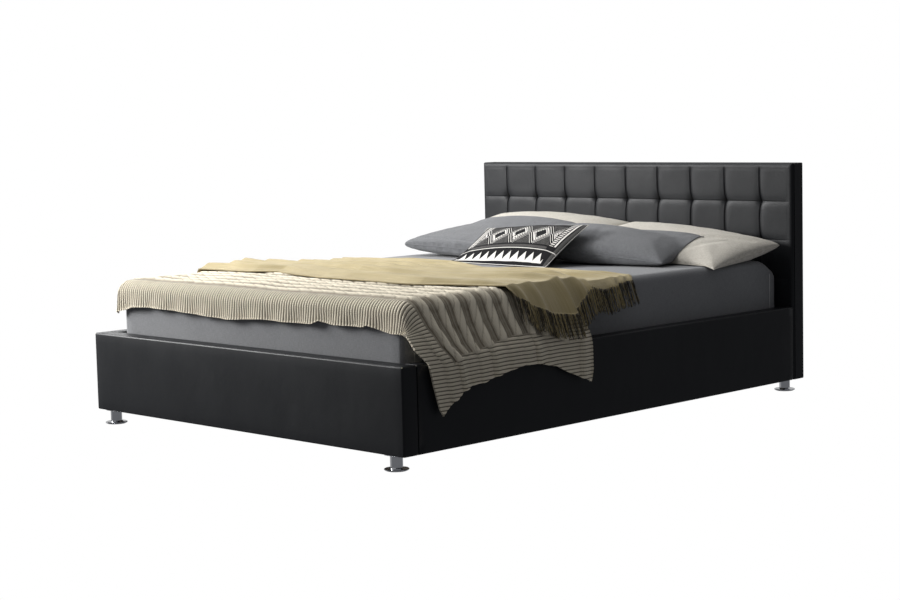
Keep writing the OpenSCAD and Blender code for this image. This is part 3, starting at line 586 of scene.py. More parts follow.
def make_upholstery():
    """The leather covers, as padded shells with rounded edges, and the headboard's carved foam."""
    back = HEAD_HIGH - Vector((0, 0.0006, 0))
    folds = (np.concatenate([fold_places(TUFT_COLUMNS), fold_places(TUFT_COLUMNS - 0.005)]), (),
             fold_places(TUFT_ROWS))
    made = rounded_box(HEAD_LOW, back, CORNER_R, 0.0070, tufted, "y+", folds)
    add_mesh("headboard_leather", *made[:2], "leather", "frame", ["headboard_cover"], made[2])
    low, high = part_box("headboard_foam")
    low, high = low + Vector((0.004, 0.003, 0.004)), high - Vector((0.004, 0, 0.004))
    made = rounded_box(low, high, 0.003, 0.0070, tufted, "y+", folds)
    foam = add_mesh("headboard_carved_foam", *made[:2], "foam", "frame", ["headboard_foam"], made[2])
    made = rounded_box(FOOT_LOW, FOOT_HIGH, PANEL_R, 0.03, plump(1, -1, 0.0022, 5))
    add_mesh("foot_panel_leather", *made[:2], "leather", "frame", ["footboard_cover"], made[2])
    for side, sign in (("left", -1), ("right", 1)):
        cover = f"side_rail_{side}_cover"
        made = rounded_box(*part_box(cover), PANEL_R, 0.03, plump(0, sign, 0.0018, 8), "y- y+")
        add_mesh(f"side_rail_{side}_leather", *made[:2], "leather", "frame", [cover], made[2])
    make_buttons()


def make_buttons():
    """Small covered buttons at the bottoms of the pulled points."""
    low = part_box("tuft_buttons")[0]
    points, faces = [], []
    rings, sides = 4, 14
    radius = 0.0042
    for x in TUFT_COLUMNS:
        for z in TUFT_ROWS:
            first = len(points)
            points.append((x, low.y - 0.0010, z))
            for k in range(1, rings + 1):
                a = k / rings
                for m in range(sides):
                    turn = math.tau * m / sides
                    points.append((x + radius * a * math.cos(turn), low.y - 0.0010 + 0.0026 * a ** 2.4,
                                   z + radius * a * math.sin(turn)))
            for m in range(sides):
                n = (m + 1) % sides
                faces.append((first, first + 1 + m, first + 1 + n))
                for k in range(rings - 1):
                    at = first + 1 + k * sides
                    faces.append((at + m, at + sides + m, at + sides + n, at + n))
            faces.append(tuple(first + 1 + (rings - 1) * sides + m for m in range(sides)))
    add_mesh("covered_buttons", points, faces, "leather", "frame", ["tuft_buttons"],
             [(p[0], p[2]) for p in points])


# ---------- Mattress in its sheet ----------

SHEET_R = 0.030


def sheet_shape(points, normals):
    """Presses the mattress in a little, unevenly, rounds its head end and pulls creases towards the corners.
    """
    x, y, z = points.T
    moved = points.copy()
    rise = (z - BED_LOW.z) / (BED_TOP - BED_LOW.z)
    to_side = BED_HIGH.x - np.abs(x)
    to_head, to_foot = BED_HIGH.y - y, y - BED_LOW.y
    corner = np.exp(-np.minimum(to_head, to_foot) / 0.16) * np.exp(-to_side / 0.16)
    pull = np.sin(28 * np.arctan2(np.minimum(to_head, to_foot) + 0.01, to_side + 0.01)) * corner
    moved -= normals * (0.0018 * pull + 0.0022 * (0.5 + 0.5 * coarse_noise(x + 0.6 * z, y, 3.2, 2)))[:, None]
    droop = 0.050 * np.exp(-(to_head / 0.060) ** 2) * step_up(rise, 0.35, 1.0) * np.exp(-to_side / 0.16)
    moved[:, 2] -= droop
    return moved


def make_mattress():
    """The mattress in its fitted sheet, with its ticking, comfort layer and core inside."""
    for name, node, slot, radius, flat in (
            ("mattress_sheet", "fitted_sheet", "sheet", SHEET_R, ""),
            ("mattress_ticking_shell", "mattress_ticking", "ticking", SHEET_R - 0.002, ""),
            ("comfort_foam", "mattress_comfort_layer", "foam", SHEET_R - 0.006, "z-"),
            ("core_foam", "mattress_core", "foam", SHEET_R - 0.006, "z+")):
        made = rounded_box(*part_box(node), radius, 0.016 if slot == "sheet" else 0.05, sheet_shape, flat)
        piece = add_mesh(name, *made[:2], slot, "mattress", [node], made[2])


# ---------- Knitted blanket ----------

BLANKET_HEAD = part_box("knit_blanket")[1].y
KNIT_BASE = 0.0085
KNIT_BORDER = 0.108
FOOT_FALL = 0.092
FAR_FALL = 0.066
CABLE_PITCH = 0.074
CABLE_HALF = 0.023
ROPE_STEP = 0.058
NEAR_BORDER = 0.095
# The foot hem: X across the bed, and how far the hem hangs there
HEM_ACROSS = [-0.76, -0.70, -0.66, -0.57, -0.41, -0.11, 0.07, 0.20, 0.33, 0.36, 0.44, 0.58, 0.60, 0.67,
              0.745, 0.79]
HEM_FALLS = [0.112, 0.100, 0.090, 0.086, 0.089, 0.102, 0.090, 0.092, 0.090, 0.078, 0.086, 0.085, 0.078, 0.092,
             0.101, 0.112]
# The near hem: place from the blanket's head edge to its foot edge, and height above the floor
NEAR_SPOTS = [0.0, 0.017, 0.05, 0.125, 0.19, 0.32, 0.42, 0.52, 0.654, 0.785, 0.861, 0.958, 1.0]
NEAR_HEIGHTS = [0.236, 0.190, 0.205, 0.231, 0.260, 0.281, 0.284, 0.271, 0.249, 0.246, 0.229, 0.185, 0.163]
# How far the near drape is pulled towards the head at each height, as shares of DRIFT
DRIFT = 0.123
DRIFT_HEIGHTS = [0.163, 0.187, 0.262, 0.329, 0.377, 0.440]
DRIFT_SHARES = [1.0, 0.87, 0.69, 0.55, 0.18, 0.0]


def rounded_path(corners, radii):
    """Points along a line through corners with rounded bends, and their distances along it."""
    corners = [np.array(c, float) for c in corners]
    points = [corners[0]]
    for before, here, after, radius in zip(corners, corners[1:], corners[2:], radii):
        u, v = (before - here) / np.linalg.norm(before - here), (after - here) / np.linalg.norm(after - here)
        half = math.acos(float(np.dot(u, v))) / 2
        centre = here + (u + v) / np.linalg.norm(u + v) * radius / math.sin(half)
        start, end = here + u * radius / math.tan(half) - centre, here + v * radius / math.tan(half) - centre
        sweep = math.pi - 2 * half
        points += [centre + (math.sin((1 - f) * sweep) * start + math.sin(f * sweep) * end) / math.sin(sweep)
                   for f in np.linspace(0, 1, 10)]
    points = np.array(points + [corners[-1]])
    lengths = np.linalg.norm(np.diff(points, axis=0), axis=1)
    return points, np.concatenate([[0], np.cumsum(lengths)])


def knit_relief(s, t, width, length):
    """Relief of the knit, 0 to 1, over s across the bed and t from the blanket's head edge, and where it
    is ribbed."""
    to_foot, to_head = length - t, t
    to_near, to_far = width - s, s
    ribs = np.sqrt(np.abs(np.sin(math.pi * s / RIB_PITCH)))
    lane = ((to_foot - KNIT_BORDER) / CABLE_PITCH) % 1 - 0.5
    over = lane * CABLE_PITCH / CABLE_HALF
    rope = np.sqrt(np.clip(1 - over ** 2, 0, 1))
    twist = np.abs(np.sin(math.pi * (s / ROPE_STEP + 0.85 * over * (1 - 0.3 * over ** 2))))
    cable = rope * (0.54 + 0.46 * np.clip(twist * 2.2, 0, 1))
    side = np.clip(np.abs(over) - 1, 0, 1) / (CABLE_PITCH / CABLE_HALF / 2 - 1)
    ground = 0.16 + 0.22 * np.clip(side * 2, 0, 1) * (0.6 + 0.4 * np.sin(math.tau * lane * 6))
    body = np.where(np.abs(over) < 1, np.maximum(cable, ground), ground)
    ribbed = np.maximum(1 - step_up(np.minimum(to_foot, to_head), KNIT_BORDER - 0.006, KNIT_BORDER),
                        1 - step_up(np.minimum(to_near, to_far + 0.08), NEAR_BORDER, NEAR_BORDER + 0.008))
    relief = body * (1 - ribbed) + (0.10 + 0.46 * ribs) * ribbed
    hem = np.exp(-(np.minimum(np.minimum(to_foot, to_head), np.minimum(to_near, to_far)) / 0.004) ** 2)
    return np.clip(relief + 0.35 * hem, 0, 1), ribbed


def blanket_surface():
    """Rows of points from the blanket's head edge to its foot hem, and its flat coordinates."""
    edge_x = BED_HIGH.x + 0.006
    out_x = RAIL_HIGH.x + 0.010
    top_z = BED_TOP + 0.003
    path, way = rounded_path([(-edge_x, top_z - FAR_FALL), (-edge_x, top_z), (edge_x, top_z),
                              (out_x, RAIL_TOP + 0.006), (out_x + 0.004, 0.12)], [0.032, 0.048, 0.06])
    bed_run = BLANKET_HEAD - (BED_LOW.y - 0.007)
    foot, foot_way = rounded_path([(0, 0), (bed_run, 0), (bed_run + 0.005, -FOOT_FALL - 0.02)], [0.042])
    length = foot_way[-1] - 0.02
    bend_s = way[np.argmax(path[:, 0] > edge_x - 0.06)]
    hang_s = way[np.argmax((path[:, 1] < RAIL_TOP + 0.03) & (path[:, 0] > 0))]
    width = hang_s + 0.155

    # Columns reach down as far as the near hem, so each row has its own length there
    t = np.linspace(0, length, int(length / 0.0035))
    share = t / length
    hem_z = np.interp(share, NEAR_SPOTS, NEAR_HEIGHTS)
    hem_s = np.interp(-hem_z, -path[way > hang_s - 0.05, 1], way[way > hang_s - 0.05])
    s = np.linspace(0, 1, int(width / 0.0023))
    tt, ff = np.meshgrid(t, s, indexing="ij")
    flat_s = ff * width
    ss = np.where(flat_s <= bend_s, flat_s,
                  bend_s + (flat_s - bend_s) * (hem_s[:, None] - bend_s) / (width - bend_s))
    share = np.broadcast_to(share[:, None], ss.shape)
    x, z = np.interp(ss, way, path[:, 0]), np.interp(ss, way, path[:, 1])
    along, fall = np.interp(tt, foot_way, foot[:, 0]), -np.interp(tt, foot_way, foot[:, 1])

    # On the bed the foot border hangs down; on the near side it reaches out past the foot end instead
    draped = step_up(ss, bend_s - 0.01, bend_s + 0.16)
    fall = fall * np.interp(x, HEM_ACROSS, HEM_FALLS) / FOOT_FALL
    bed_y = BLANKET_HEAD - along
    top_length = BLANKET_HEAD - (FOOT_LOW.y + 0.034)
    squeeze = (length - top_length) * step_up(tt, bed_run - 0.30, length)
    side_y = BLANKET_HEAD - tt + squeeze
    y = bed_y * (1 - draped) + side_y * draped
    drop_x = np.clip(top_z - z, 0, 1) * (x < 0)
    z = np.where(x < 0, top_z - (drop_x ** 3 + fall ** 3) ** (1 / 3), z - fall * (1 - draped))

    # The near side is pulled towards the head, more towards its hem and at the foot end
    pull = np.interp(z, DRIFT_HEIGHTS, DRIFT_SHARES) * draped
    y = y + DRIFT * pull * share ** 1.2

    # Each cable stands out as a soft pleat that falls away sharply on its head side
    down = step_up(ss, bend_s, hang_s + 0.06)
    phase = (-(length - tt - KNIT_BORDER) / CABLE_PITCH + 0.35) % 1
    pleat = np.where(phase < 0.80, phase / 0.80, (1 - phase) / 0.20)
    uneven = 0.55 + 0.45 * np.sin(share * 23 + 0.7)
    out = 0.012 * down * pleat * uneven + 0.010 * down * (0.5 + 0.5 * np.sin(share * 15 + 2.2))
    x = x + out * draped
    y = y + 0.010 * down * np.sin(share * 15 + 1.0) * draped

    # Soft unevenness where it lies on the bed
    lying = (1 - draped) * step_up(ss, FAR_FALL, FAR_FALL + 0.1) * (1 - step_up(tt, bed_run - 0.06, bed_run))
    z = z + lying * 0.0045 * (1 + coarse_noise(ss, tt, 5.0, 4))
    curl = 0.004 * np.sin(ss * 46) * step_up(tt, bed_run + 0.02, length) * (1 - draped)
    return np.stack([x, y - curl, z], 2), ss, tt, width, length


def with_rim(points, normals, uv, relief, depth):
    """Adds a rim that folds a surface's edge back by depth, so that it looks thick."""
    rows, columns = relief.shape
    ring = rim_loop(rows, columns)
    index = np.array([i * columns + j for i, j in ring])
    i, j = np.array(ring).T
    extra = points[i, j] - normals[i, j] * depth
    all_points = np.vstack([points.reshape(-1, 3), extra])
    first = rows * columns
    after = np.roll(np.arange(len(ring)), -1)
    skirt = np.stack([index, first + np.arange(len(ring)), first + after, index[after]], 1)
    faces = np.vstack([grid_faces(rows, columns), skirt])
    return (all_points, faces, np.vstack([uv.reshape(-1, 2), uv[i, j]]),
            np.concatenate([relief.ravel(), relief[i, j] * 0.5]))


def make_blanket():
    """The cable-knit blanket, its relief built into the mesh."""
    points, ss, tt, _, length = blanket_surface()
    normals = grid_normals(points)
    hem_s = np.broadcast_to(ss[:, -1:], ss.shape)
    relief, ribbed = knit_relief(ss, tt, hem_s, length)
    uneven = 0.05 * coarse_noise(ss, tt, 40, 6, 1, 160)
    raised = points + normals * (KNIT_BASE * (0.25 + relief + uneven))[..., None]
    made = with_rim(raised, normals, np.stack([ss, tt], 2), relief, 0.006)
    ring = len(made[0]) - relief.size
    bands = np.concatenate([ribbed.ravel(), np.ones(ring)])
    # The relief is also stored on the points, where the knit's colour turns it into painted shade
    piece = add_mesh("cable_knit_blanket", made[0], made[1], "oatmeal_knit", "blanket", ["knit_blanket"],
                     made[2], {"relief": made[3], "ribbed": bands})
    round(float(ss[:, -1].max()), 3)


# ---------- Throw and fringe ----------

THROW_LOW, THROW_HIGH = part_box("throw")
# Height of the throw's near end above the floor, from its foot edge to its head edge
END_SPOTS = [0.0, 0.10, 0.24, 0.36, 0.46, 0.54, 0.60, 0.66, 0.74, 0.86, 1.0]
END_HEIGHTS = [0.505, 0.470, 0.437, 0.428, 0.448, 0.492, 0.512, 0.500, 0.490, 0.505, 0.512]


def throw_surface():
    """Rows of points from the throw's foot edge to its head edge, and its flat coordinates."""
    foot, head = THROW_LOW.y, THROW_HIGH.y
    edge_x = BED_HIGH.x + 0.014
    far_run, flat_run, drop = 0.075, 2 * edge_x, 0.125
    width, length = far_run + flat_run + drop, head - foot
    s = np.linspace(0, width, 380)
    t = np.linspace(0, length, 230)
    tt, ss = np.meshgrid(t, s, indexing="ij")
    share, across = tt / length, np.clip((ss - far_run) / flat_run, 0, 1)

    # Its edges wander along the bed, and it lies on the blanket and then on the sheet
    foot_edge = foot + np.interp(across, FOOT_EDGE_AT, FOOT_EDGE) + 0.004 * np.sin(across * 31)
    head_edge = head + np.interp(across, HEAD_EDGE_AT, HEAD_EDGE) + 0.004 * np.sin(across * 27 + 1)
    y = foot_edge + (head_edge - foot_edge) * share
    on_blanket = 1 - step_up(y, BLANKET_HEAD - 0.004, BLANKET_HEAD + 0.040)
    base = BED_TOP + 0.0035 + 0.0185 * on_blanket

    # Long soft folds that run across the bed
    folds = np.zeros_like(y)
    for centre, drift, wide, tall, phase in FOLDS:
        line = centre + drift * np.sin(across * 3.4 + phase)
        swell = 0.50 + 0.50 * np.sin(across * 5.5 + phase * 2.3) ** 2
        lean = (share - line) * length / wide
        lean = np.where(lean > 0, lean * 1.5, lean)
        folds += tall * swell * np.exp(-(lean ** 2))
    folds += 0.0030 * (1 + coarse_noise(ss, tt, 7.0, 9))
    folds *= step_up(share, 0.0, 0.03) * (1 - step_up(share, 0.985, 1.0) * 0.6)
    z = base + folds
    x = -edge_x + (ss - far_run)

    # Down the far side
    far = np.clip((far_run - ss) / far_run, 0, 1)
    x = np.where(far > 0, -edge_x - 0.012 * step_up(far, 0.0, 0.3) - 0.25 * folds * step_up(far, 0.0, 0.5), x)
    z = np.where(far > 0, base + folds * (1 - far) - far * far_run, z)

    # Over the near edge and down along the blanket's slope, as far as its end
    down = np.clip((ss - far_run - flat_run) / drop, 0, 1)
    end = np.interp(share, END_SPOTS, END_HEIGHTS)
    slope = (RAIL_HIGH.x + 0.024 - edge_x) / (BED_TOP - RAIL_TOP)
    level = base + folds * 0.5
    z_down = level - (level - end) * down
    z_down += 0.012 * np.sin(down * math.pi) * step_up(level - end, 0.02, 0.08)
    x_down = edge_x + slope * (level - z_down) + 0.014 * np.sin(down * math.pi / 2)
    x_down += folds * np.sqrt(down)
    z = np.where(down > 0, z_down, z - 0.5 * folds * step_up(across, 0.93, 1.0))
    x = np.where(down > 0, x_down, x)
    y = y + 0.04 * (0.42 - share) * step_up(down, 0.0, 1.0)
    return np.stack([x, y, z], 2), ss, tt, width, length


# How far the throw's foot and head edges wander across the bed, from the far side to the near side
FOOT_EDGE_AT = [0.0, 0.19, 0.25, 0.47, 0.53, 0.73, 0.80, 0.87, 1.0]
FOOT_EDGE = [0.030, 0.052, 0.100, 0.012, 0.020, 0.004, 0.012, 0.050, 0.120]
HEAD_EDGE_AT = [0.0, 0.25, 0.38, 0.56, 0.76, 0.90, 1.0]
HEAD_EDGE = [0.0, 0.020, 0.050, -0.060, -0.040, -0.060, -0.020]
# Folds of the throw: centre and drift as shares of its width, half width, height, phase
FOLDS = [
    (0.06, 0.020, 0.026, 0.020, 0.4),
    (0.20, 0.040, 0.034, 0.015, 2.0),
    (0.34, 0.060, 0.030, 0.025, 3.7),
    (0.50, 0.040, 0.026, 0.014, 5.2),
    (0.64, 0.055, 0.036, 0.026, 1.2),
    (0.80, 0.030, 0.030, 0.018, 4.1),
    (0.91, 0.020, 0.024, 0.016, 2.7),
    (0.985, 0.006, 0.022, 0.016, 1.4),
]


def strand(start, direction, length, radius, random):
    """One hanging strand of fringe: a thin twisted tube that wanders a little."""
    rings, sides = 9, 5
    points, faces = [], []
    sway = random.normal(0, 0.004, 2)
    for k in range(rings):
        f = k / (rings - 1)
        centre = np.array(start) + np.array(direction) * length * f
        centre = centre + np.array([0.35 * sway[0], sway[1], 0]) * f ** 1.5
        centre[1] += 0.0012 * math.sin(f * 14 + sway[0] * 900)
        thick = radius * (1.0 - 0.35 * f + 0.18 * math.sin(f * 22 + sway[1] * 700))
        for m in range(sides):
            a = math.tau * (m / sides + f * 1.5)
            points.append(centre + thick * np.array([math.cos(a), math.sin(a), 0]))
    for k in range(rings - 1):
        for m in range(sides):
            n = (m + 1) % sides
            faces.append((k * sides + m, k * sides + n, (k + 1) * sides + n, (k + 1) * sides + m))
    faces.append(tuple(range(sides))[::-1])
    faces.append(tuple((rings - 1) * sides + m for m in range(sides)))
    return points, faces


def make_fringe(points):
    """The fringe along both ends of the throw, straw and dark strands side by side."""
    random = np.random.default_rng(11)
    slope = np.array([0.36, 0, -1.0])
    near = slope / np.linalg.norm(slope)
    far = np.array([-0.02, 0, -1.0])
    everything, faces, shades = [], [], []
    for column, direction, count in ((-1, near, 250), (0, far, 130)):
        line = points[:, column]
        at = np.linspace(0.5, len(line) - 1.5, count) + random.uniform(-0.3, 0.3, count)
        for place in at:
            i = int(place)
            start = line[i] + (line[i + 1] - line[i]) * (place - i)
            start = start + np.array([random.uniform(-0.002, 0.003), 0, 0.001])
            long = random.uniform(0.078, 0.094) if column else random.uniform(0.055, 0.070)
            part, quads = strand(start, direction, long, 0.0019, random)
            base = len(everything)
            everything += part
            faces += [tuple(base + k for k in f) for f in quads]
            shades += [0.95 if random.random() < 0.42 else 0.02 + 0.2 * random.random()] * len(part)
    return add_mesh("throw_fringe_strands", everything, faces, "fringe", "throw", ["throw_fringe"],
                    attributes={"strand": shades})


def make_throw():
    """The straw throw and its fringe."""
    points, ss, tt, width, length = throw_surface()
    normals = -grid_normals(points)
    made = with_rim(points, normals, np.stack([ss, tt], 2), np.ones(ss.shape), 0.003)
    faces = made[1][:, ::-1]
    piece = add_mesh("straw_throw_cloth", made[0], faces, "straw_throw", "throw", ["throw"], made[2])
    strands = make_fringe(points)


# ---------- Pillows and cushion ----------


CASE_GRID = (72, 50)
CASE_PRESSURE = 9.0
CASE_FRAMES = 16
CREASE_SHARE = 0.35
SEAM_R = 0.0016


def sewn_case(width, depth, thick, full):
    """Two panels sewn round their rim: points, faces, UVs in metres for each face corner, the rim's mask
    and how full the case is at each point. A small full makes a boxy case, a large one a thin-edged case."""
    uu, vv = np.meshgrid(*(np.sin(np.linspace(-1, 1, n) * math.pi / 2) for n in CASE_GRID), indexing="ij")
    swell = ((1 - uu ** 2) * (1 - vv ** 2)) ** full * (1 - (uu ** 2 + vv ** 2) / 10)
    flat = np.dstack([width / 2 * uu * (1 - 0.045 * (1 - vv ** 2)),
                      depth / 2 * vv * (1 - 0.055 * (1 - uu ** 2))])
    rim = np.zeros(uu.shape, bool)
    rim[[0, -1], :] = rim[:, [0, -1]] = True
    swell[rim] = 0
    low_id = np.full(rim.shape, -1)
    low_id[rim] = np.arange(rim.size).reshape(rim.shape)[rim]
    low_id[~rim] = rim.size + np.arange((~rim).sum())
    over = np.dstack([flat, thick / 2 * swell]).reshape(-1, 3)
    under = np.dstack([flat, -thick / 2 * swell])[~rim]
    top_faces = grid_faces(*CASE_GRID)
    low_faces = low_id.ravel()[grid_faces(*CASE_GRID, flip=True)]
    points = np.vstack([over, under])
    laid = np.stack([np.concatenate([uu.ravel(), uu[~rim]]) * width / 2,
                     np.concatenate([vv.ravel(), vv[~rim]]) * depth / 2], 1)
    uv = np.vstack([laid[top_faces.ravel()], laid[low_faces.ravel()] + [1.0, 0.0]])
    bulge = np.concatenate([swell.ravel(), swell[~rim]])
    return points, np.vstack([top_faces, low_faces]), uv, rim, bulge


def inflate(name, points, faces):
    """Blows up a sewn case with Blender's cloth, and returns the points that it reaches."""
    mesh = bpy.data.meshes.new(name)
    mesh.from_pydata([tuple(p) for p in points], [], [tuple(int(i) for i in f) for f in faces])
    case = bpy.data.objects.new(name, mesh)
    scene.collection.objects.link(case)
    cloth = case.modifiers.new("cloth", "CLOTH")
    settings = cloth.settings
    settings.quality = 6
    settings.mass = 0.25
    settings.tension_stiffness = settings.compression_stiffness = 30
    settings.shear_stiffness = 12
    settings.bending_stiffness = 0.35
    settings.use_pressure = True
    settings.uniform_pressure_force = CASE_PRESSURE
    settings.effector_weights.gravity = 0
    cloth.point_cache.frame_start, cloth.point_cache.frame_end = 1, CASE_FRAMES
    for number in range(1, CASE_FRAMES + 1):
        scene.frame_set(number)
    shaped = case.evaluated_get(bpy.context.evaluated_depsgraph_get())
    made = np.array([v.co for v in shaped.data.vertices], float)
    bpy.data.objects.remove(case)
    scene.frame_set(1)
    return made


def soft_max(a, b, size):
    """The larger of two heights, with a rounded join."""
    return (a + b + np.sqrt((a - b) ** 2 + size ** 2)) / 2


def relaxed(points, faces, passes):
    """Points moved towards their neighbours' mean, over and over."""
    edges = np.sort(np.vstack([np.stack([faces[:, k], faces[:, (k + 1) % 4]], 1) for k in range(4)]), 1)
    edges = np.unique(edges, axis=0)
    degree = np.bincount(edges.ravel(), minlength=len(points))[:, None]
    made = points.copy()
    for _ in range(passes):
        total = np.zeros_like(made)
        np.add.at(total, edges[:, 0], made[edges[:, 1]])
        np.add.at(total, edges[:, 1], made[edges[:, 0]])
        made += 0.6 * (total / degree - made)
    return made


def wrinkles(points, faces, seed):
    """The creases that a case gets when it is blown up, as a small offset for each of its points."""
    random = np.random.default_rng(seed)
    start = points * np.array([1.04, 1.04, 0.5]) + random.normal(0, 0.0005, points.shape)
    blown = relaxed(inflate(f"case_{seed}", start, faces), faces, 1)
    return CREASE_SHARE * np.clip(blown - relaxed(blown, faces, 14), -0.012, 0.012)


def seam_cord(points, rim, radius):
    """A thin piped seam round a case's rim: points and faces of a tube."""
    rows, columns = rim.shape
    ring = rim_loop(rows, columns)
    line = points[[i * columns + j for i, j in ring]]
    ahead = np.roll(line, -1, 0) - np.roll(line, 1, 0)
    ahead /= np.maximum(np.linalg.norm(ahead, axis=1, keepdims=True), 1e-9)
    out = np.cross(ahead, [0, 0, 1.0])
    out /= np.maximum(np.linalg.norm(out, axis=1, keepdims=True), 1e-9)
    up = np.cross(out, ahead)
    sides = 6
    tube = [line + radius * (math.cos(math.tau * m / sides) * out + math.sin(math.tau * m / sides) * up)
            for m in range(sides)]
    count = len(line)
    after = np.roll(np.arange(count), -1)
    faces = [np.stack([m * count + np.arange(count), m * count + after, (m + 1) % sides * count + after,
                       (m + 1) % sides * count + np.arange(count)], 1) for m in range(sides)]
    return np.vstack(tube), np.vstack(faces)


def creased(points, width, depth, creases):
    """Presses soft lines into a case. Each is two places as shares of the half width and half depth, a
    half width and a depth in metres."""
    moved = points.copy()
    place = points[:, :2]
    for start, end, wide, deep in creases:
        a = np.array(start) * (width / 2, depth / 2)
        b = np.array(end) * (width / 2, depth / 2)
        share = np.clip(((place - a) @ (b - a)) / max(float((b - a) @ (b - a)), 1e-9), 0, 1)
        away = np.linalg.norm(place - a - share[:, None] * (b - a), axis=1)
        moved[:, 2] -= deep * np.exp(-((away / wide) ** 2)) * np.sin(math.pi * (0.12 + 0.76 * share))
    return moved


def resting_height(x, y, below):
    """Height of what lies under each place: the sheet, falling away past its edge, or a piece in below."""
    beyond = np.clip((np.abs(x) - 0.72) / 0.05, 0, 3)
    height = BED_TOP - 0.012 * beyond ** 2
    for tree in below:
        for k, (a, b) in enumerate(zip(x, y)):
            hit = tree.ray_cast(Vector((a, b, BED_TOP + 1)), Vector((0, 0, -1)))[0]
            if hit is not None:
                height[k] = max(height[k], hit.z)
    return height


def put_pillow(name, slot, body, node, place, size, tilt, turn, roll, full, least, seed,
               creases=(), below=()):
    """Lays a stuffed case on the bed and on the cases below it, and seams it. place is X, how far its
    middle is from the sheet's head edge and its height over the sheet. Returns the tree of its faces."""
    points, faces, uv, rim, bulge = sewn_case(*size, full)
    wrinkled = points + wrinkles(points, faces, seed) * np.minimum(1, bulge * 3)[:, None]
    points = creased(wrinkled, *size[:2], creases)
    tilt, turn, roll = (math.radians(a) for a in (tilt, turn, roll))
    z = points[:, 2] + points[:, 1] * math.tan(tilt) - points[:, 0] * math.tan(roll) + BED_TOP + place[2]
    y = points[:, 1] * math.cos(tilt)
    c, s = math.cos(turn), math.sin(turn)
    x, y = (points[:, 0] * c - y * s + place[0], points[:, 0] * s + y * c + BED_HIGH.y - place[1])
    under = resting_height(x, y, below) + 0.002
    # The lower panel rests on what is under it, and the upper one stays above the lower
    upper = np.arange(len(points)) < rim.size
    inner = np.zeros(rim.size, int)
    inner[~rim.ravel()] = rim.size + np.arange((~rim).sum())
    inner[rim.ravel()] = np.nonzero(rim.ravel())[0]
    rested = soft_max(z, under, 0.008)
    lifted = soft_max(z, under + least * bulge, 0.008)
    z = np.where(upper & (bulge > 0), lifted, rested)
    z[:rim.size] = np.maximum(z[:rim.size], z[inner] + 0.012 * bulge[:rim.size])
    moved = np.stack([x, y, z], 1)
    piece = add_mesh(name, moved, faces, slot, body, [node], uv)
    smooth = piece.modifiers.new("round", "SUBSURF")
    smooth.levels = smooth.render_levels = 1
    tube, quads = seam_cord(moved, rim, SEAM_R)
    add_mesh(f"{name}_seam", tube, quads, slot, body)
    return BVHTree.FromPolygons([Vector(q) for q in moved], [tuple(int(i) for i in f) for f in faces])


def make_pillows():
    """Two cream pillows at the back, two grey ones on them, and the patterned cushion in front."""
    cream_left = put_pillow(
        "cream_pillow_left", "cream_cotton", "cream_left", "pillow_cream_left",
        place=(-0.330, 0.213, 0.0785), size=(0.74, 0.40, 0.145), tilt=14, turn=0, roll=1,
        full=0.40, least=0.03, seed=21)
    cream_right = put_pillow(
        "cream_pillow_right", "cream_cotton", "cream_right", "pillow_cream_right",
        place=(0.410, 0.228, 0.0495), size=(0.73, 0.42, 0.134), tilt=9, turn=0, roll=4.6,
        full=0.30, least=0.03, seed=24,
        creases=[((0.30, -0.20), (0.86, 0.50), 0.010, 0.010), ((0.42, -0.95), (0.72, 0.10), 0.006, 0.007),
                 ((0.72, 0.10), (0.97, 0.30), 0.006, 0.006)])
    creams = (cream_left, cream_right)
    grey_left = put_pillow(
        "grey_pillow_left", "grey_cotton", "grey_left", "pillow_grey_left",
        place=(-0.375, 0.403, 0.0555), size=(0.68, 0.37, 0.108), tilt=6, turn=0, roll=2,
        full=0.22, least=0.01, seed=22, creases=[((-0.95, -0.82), (0.40, -0.86), 0.006, 0.005)], below=creams)
    grey_right = put_pillow(
        "grey_pillow_right", "grey_cotton", "grey_right", "pillow_grey_right",
        place=(0.260, 0.448, 0.0635), size=(0.69, 0.33, 0.150), tilt=6, turn=9, roll=5,
        full=0.40, least=0.01, seed=25,
        creases=[((-0.62, 0.30), (-0.05, -0.85), 0.030, 0.012), ((0.02, -0.20), (0.08, -0.95), 0.012, 0.008),
                 ((-0.10, -0.55), (0.30, -0.80), 0.010, 0.006)], below=creams)
    put_pillow(
        "patterned_cushion", "patterned_fabric", "cushion", "accent_cushion",
        place=(-0.020, 0.655, 0.0600), size=(0.575, 0.27, 0.080), tilt=29, turn=-4, roll=-3,
        full=0.46, least=0.02, seed=23, below=creams + (grey_left, grey_right))


# ---------- CAD pieces that keep their shape ----------


def dress_cad_nodes():
    """Gives every CAD piece the material of its slot."""
    for part in frame["record"]["subparts"]:
        mesh = nodes[part["node"]].data
        mesh.materials.clear()
        mesh.materials.append(LOOKS[part["material_slot"]])


# ---------- Studio ----------


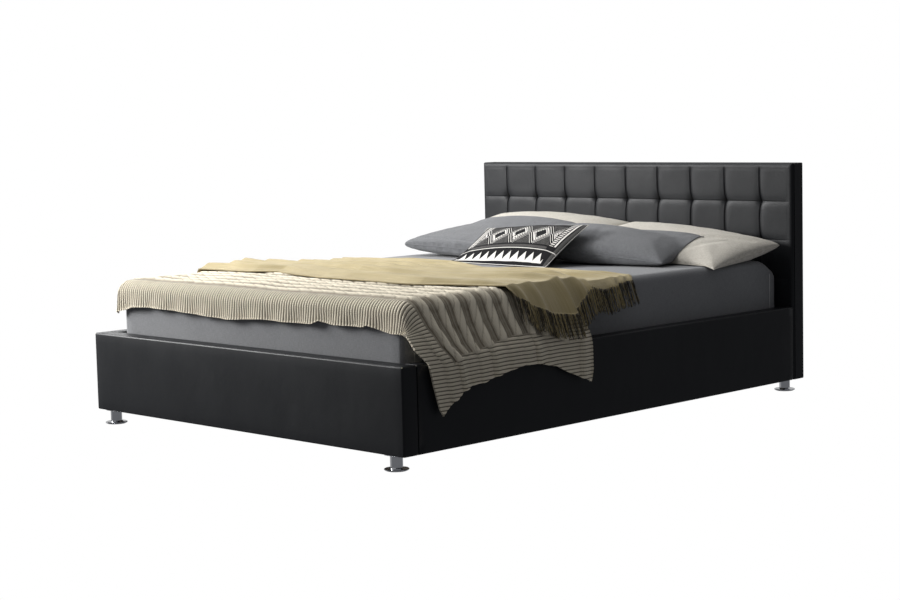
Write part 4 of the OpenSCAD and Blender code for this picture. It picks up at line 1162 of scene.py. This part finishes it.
def add_light(name, place, target, size, watts, colour=(1, 1, 1)):
    """A square soft light aimed at a point."""
    data = bpy.data.lights.new(name, "AREA")
    data.shape = "SQUARE"
    data.size = size
    data.energy = watts
    data.color = colour
    light = bpy.data.objects.new(name, data)
    light.location = place
    light.rotation_euler = (Vector(target) - Vector(place)).to_track_quat("-Z", "Y").to_euler()
    scene.collection.objects.link(light)


def make_studio():
    """Plain white behind the bed, light from its far foot corner and above, and a dark near side."""
    world = bpy.data.worlds.new("studio")
    scene.world = world
    world.use_nodes = True
    tree = world.node_tree
    back = tree.nodes["Background"]
    place = tree.nodes.new("ShaderNodeTexCoord")
    split = tree.nodes.new("ShaderNodeSeparateXYZ")
    tree.links.new(place.outputs["Generated"], split.inputs[0])
    x, y, z = [Num(tree, out) for out in split.outputs]
    side = (x * -0.60 + y * 0.30 + z * 0.55).max(0.0).min(1.0)
    ramp = tree.nodes.new("ShaderNodeMix")
    ramp.data_type = "RGBA"
    ramp.inputs[6].default_value = (0.235, 0.240, 0.255, 1)
    ramp.inputs[7].default_value = (1.0, 1.0, 1.0, 1)
    tree.links.new(side.socket, ramp.inputs[0])
    tree.links.new(ramp.outputs[2], back.inputs["Color"])
    back.inputs["Strength"].default_value = 0.60
    white = tree.nodes.new("ShaderNodeBackground")
    white.inputs["Color"].default_value = (1, 1, 1, 1)
    seen = tree.nodes.new("ShaderNodeLightPath")
    choose = tree.nodes.new("ShaderNodeMixShader")
    tree.links.new(seen.outputs["Is Camera Ray"], choose.inputs[0])
    tree.links.new(back.outputs[0], choose.inputs[1])
    tree.links.new(white.outputs[0], choose.inputs[2])
    tree.links.new(choose.outputs[0], tree.nodes["World Output"].inputs["Surface"])

    add_light("key", (-3.1, -2.5, 1.8), (-0.3, -0.6, 0.4), 1.3, 218)
    add_light("side", (-2.4, 0.1, 1.7), (0, 0.4, 0.5), 1.2, 22)
    add_light("top", (-1.4, -0.2, 3.9), (0, 0, 0.4), 2.4, 75)
    scene.view_settings.view_transform = "Standard"


dress_cad_nodes()
make_upholstery()
make_mattress()
make_blanket()
make_throw()
make_pillows()
make_studio()

import json
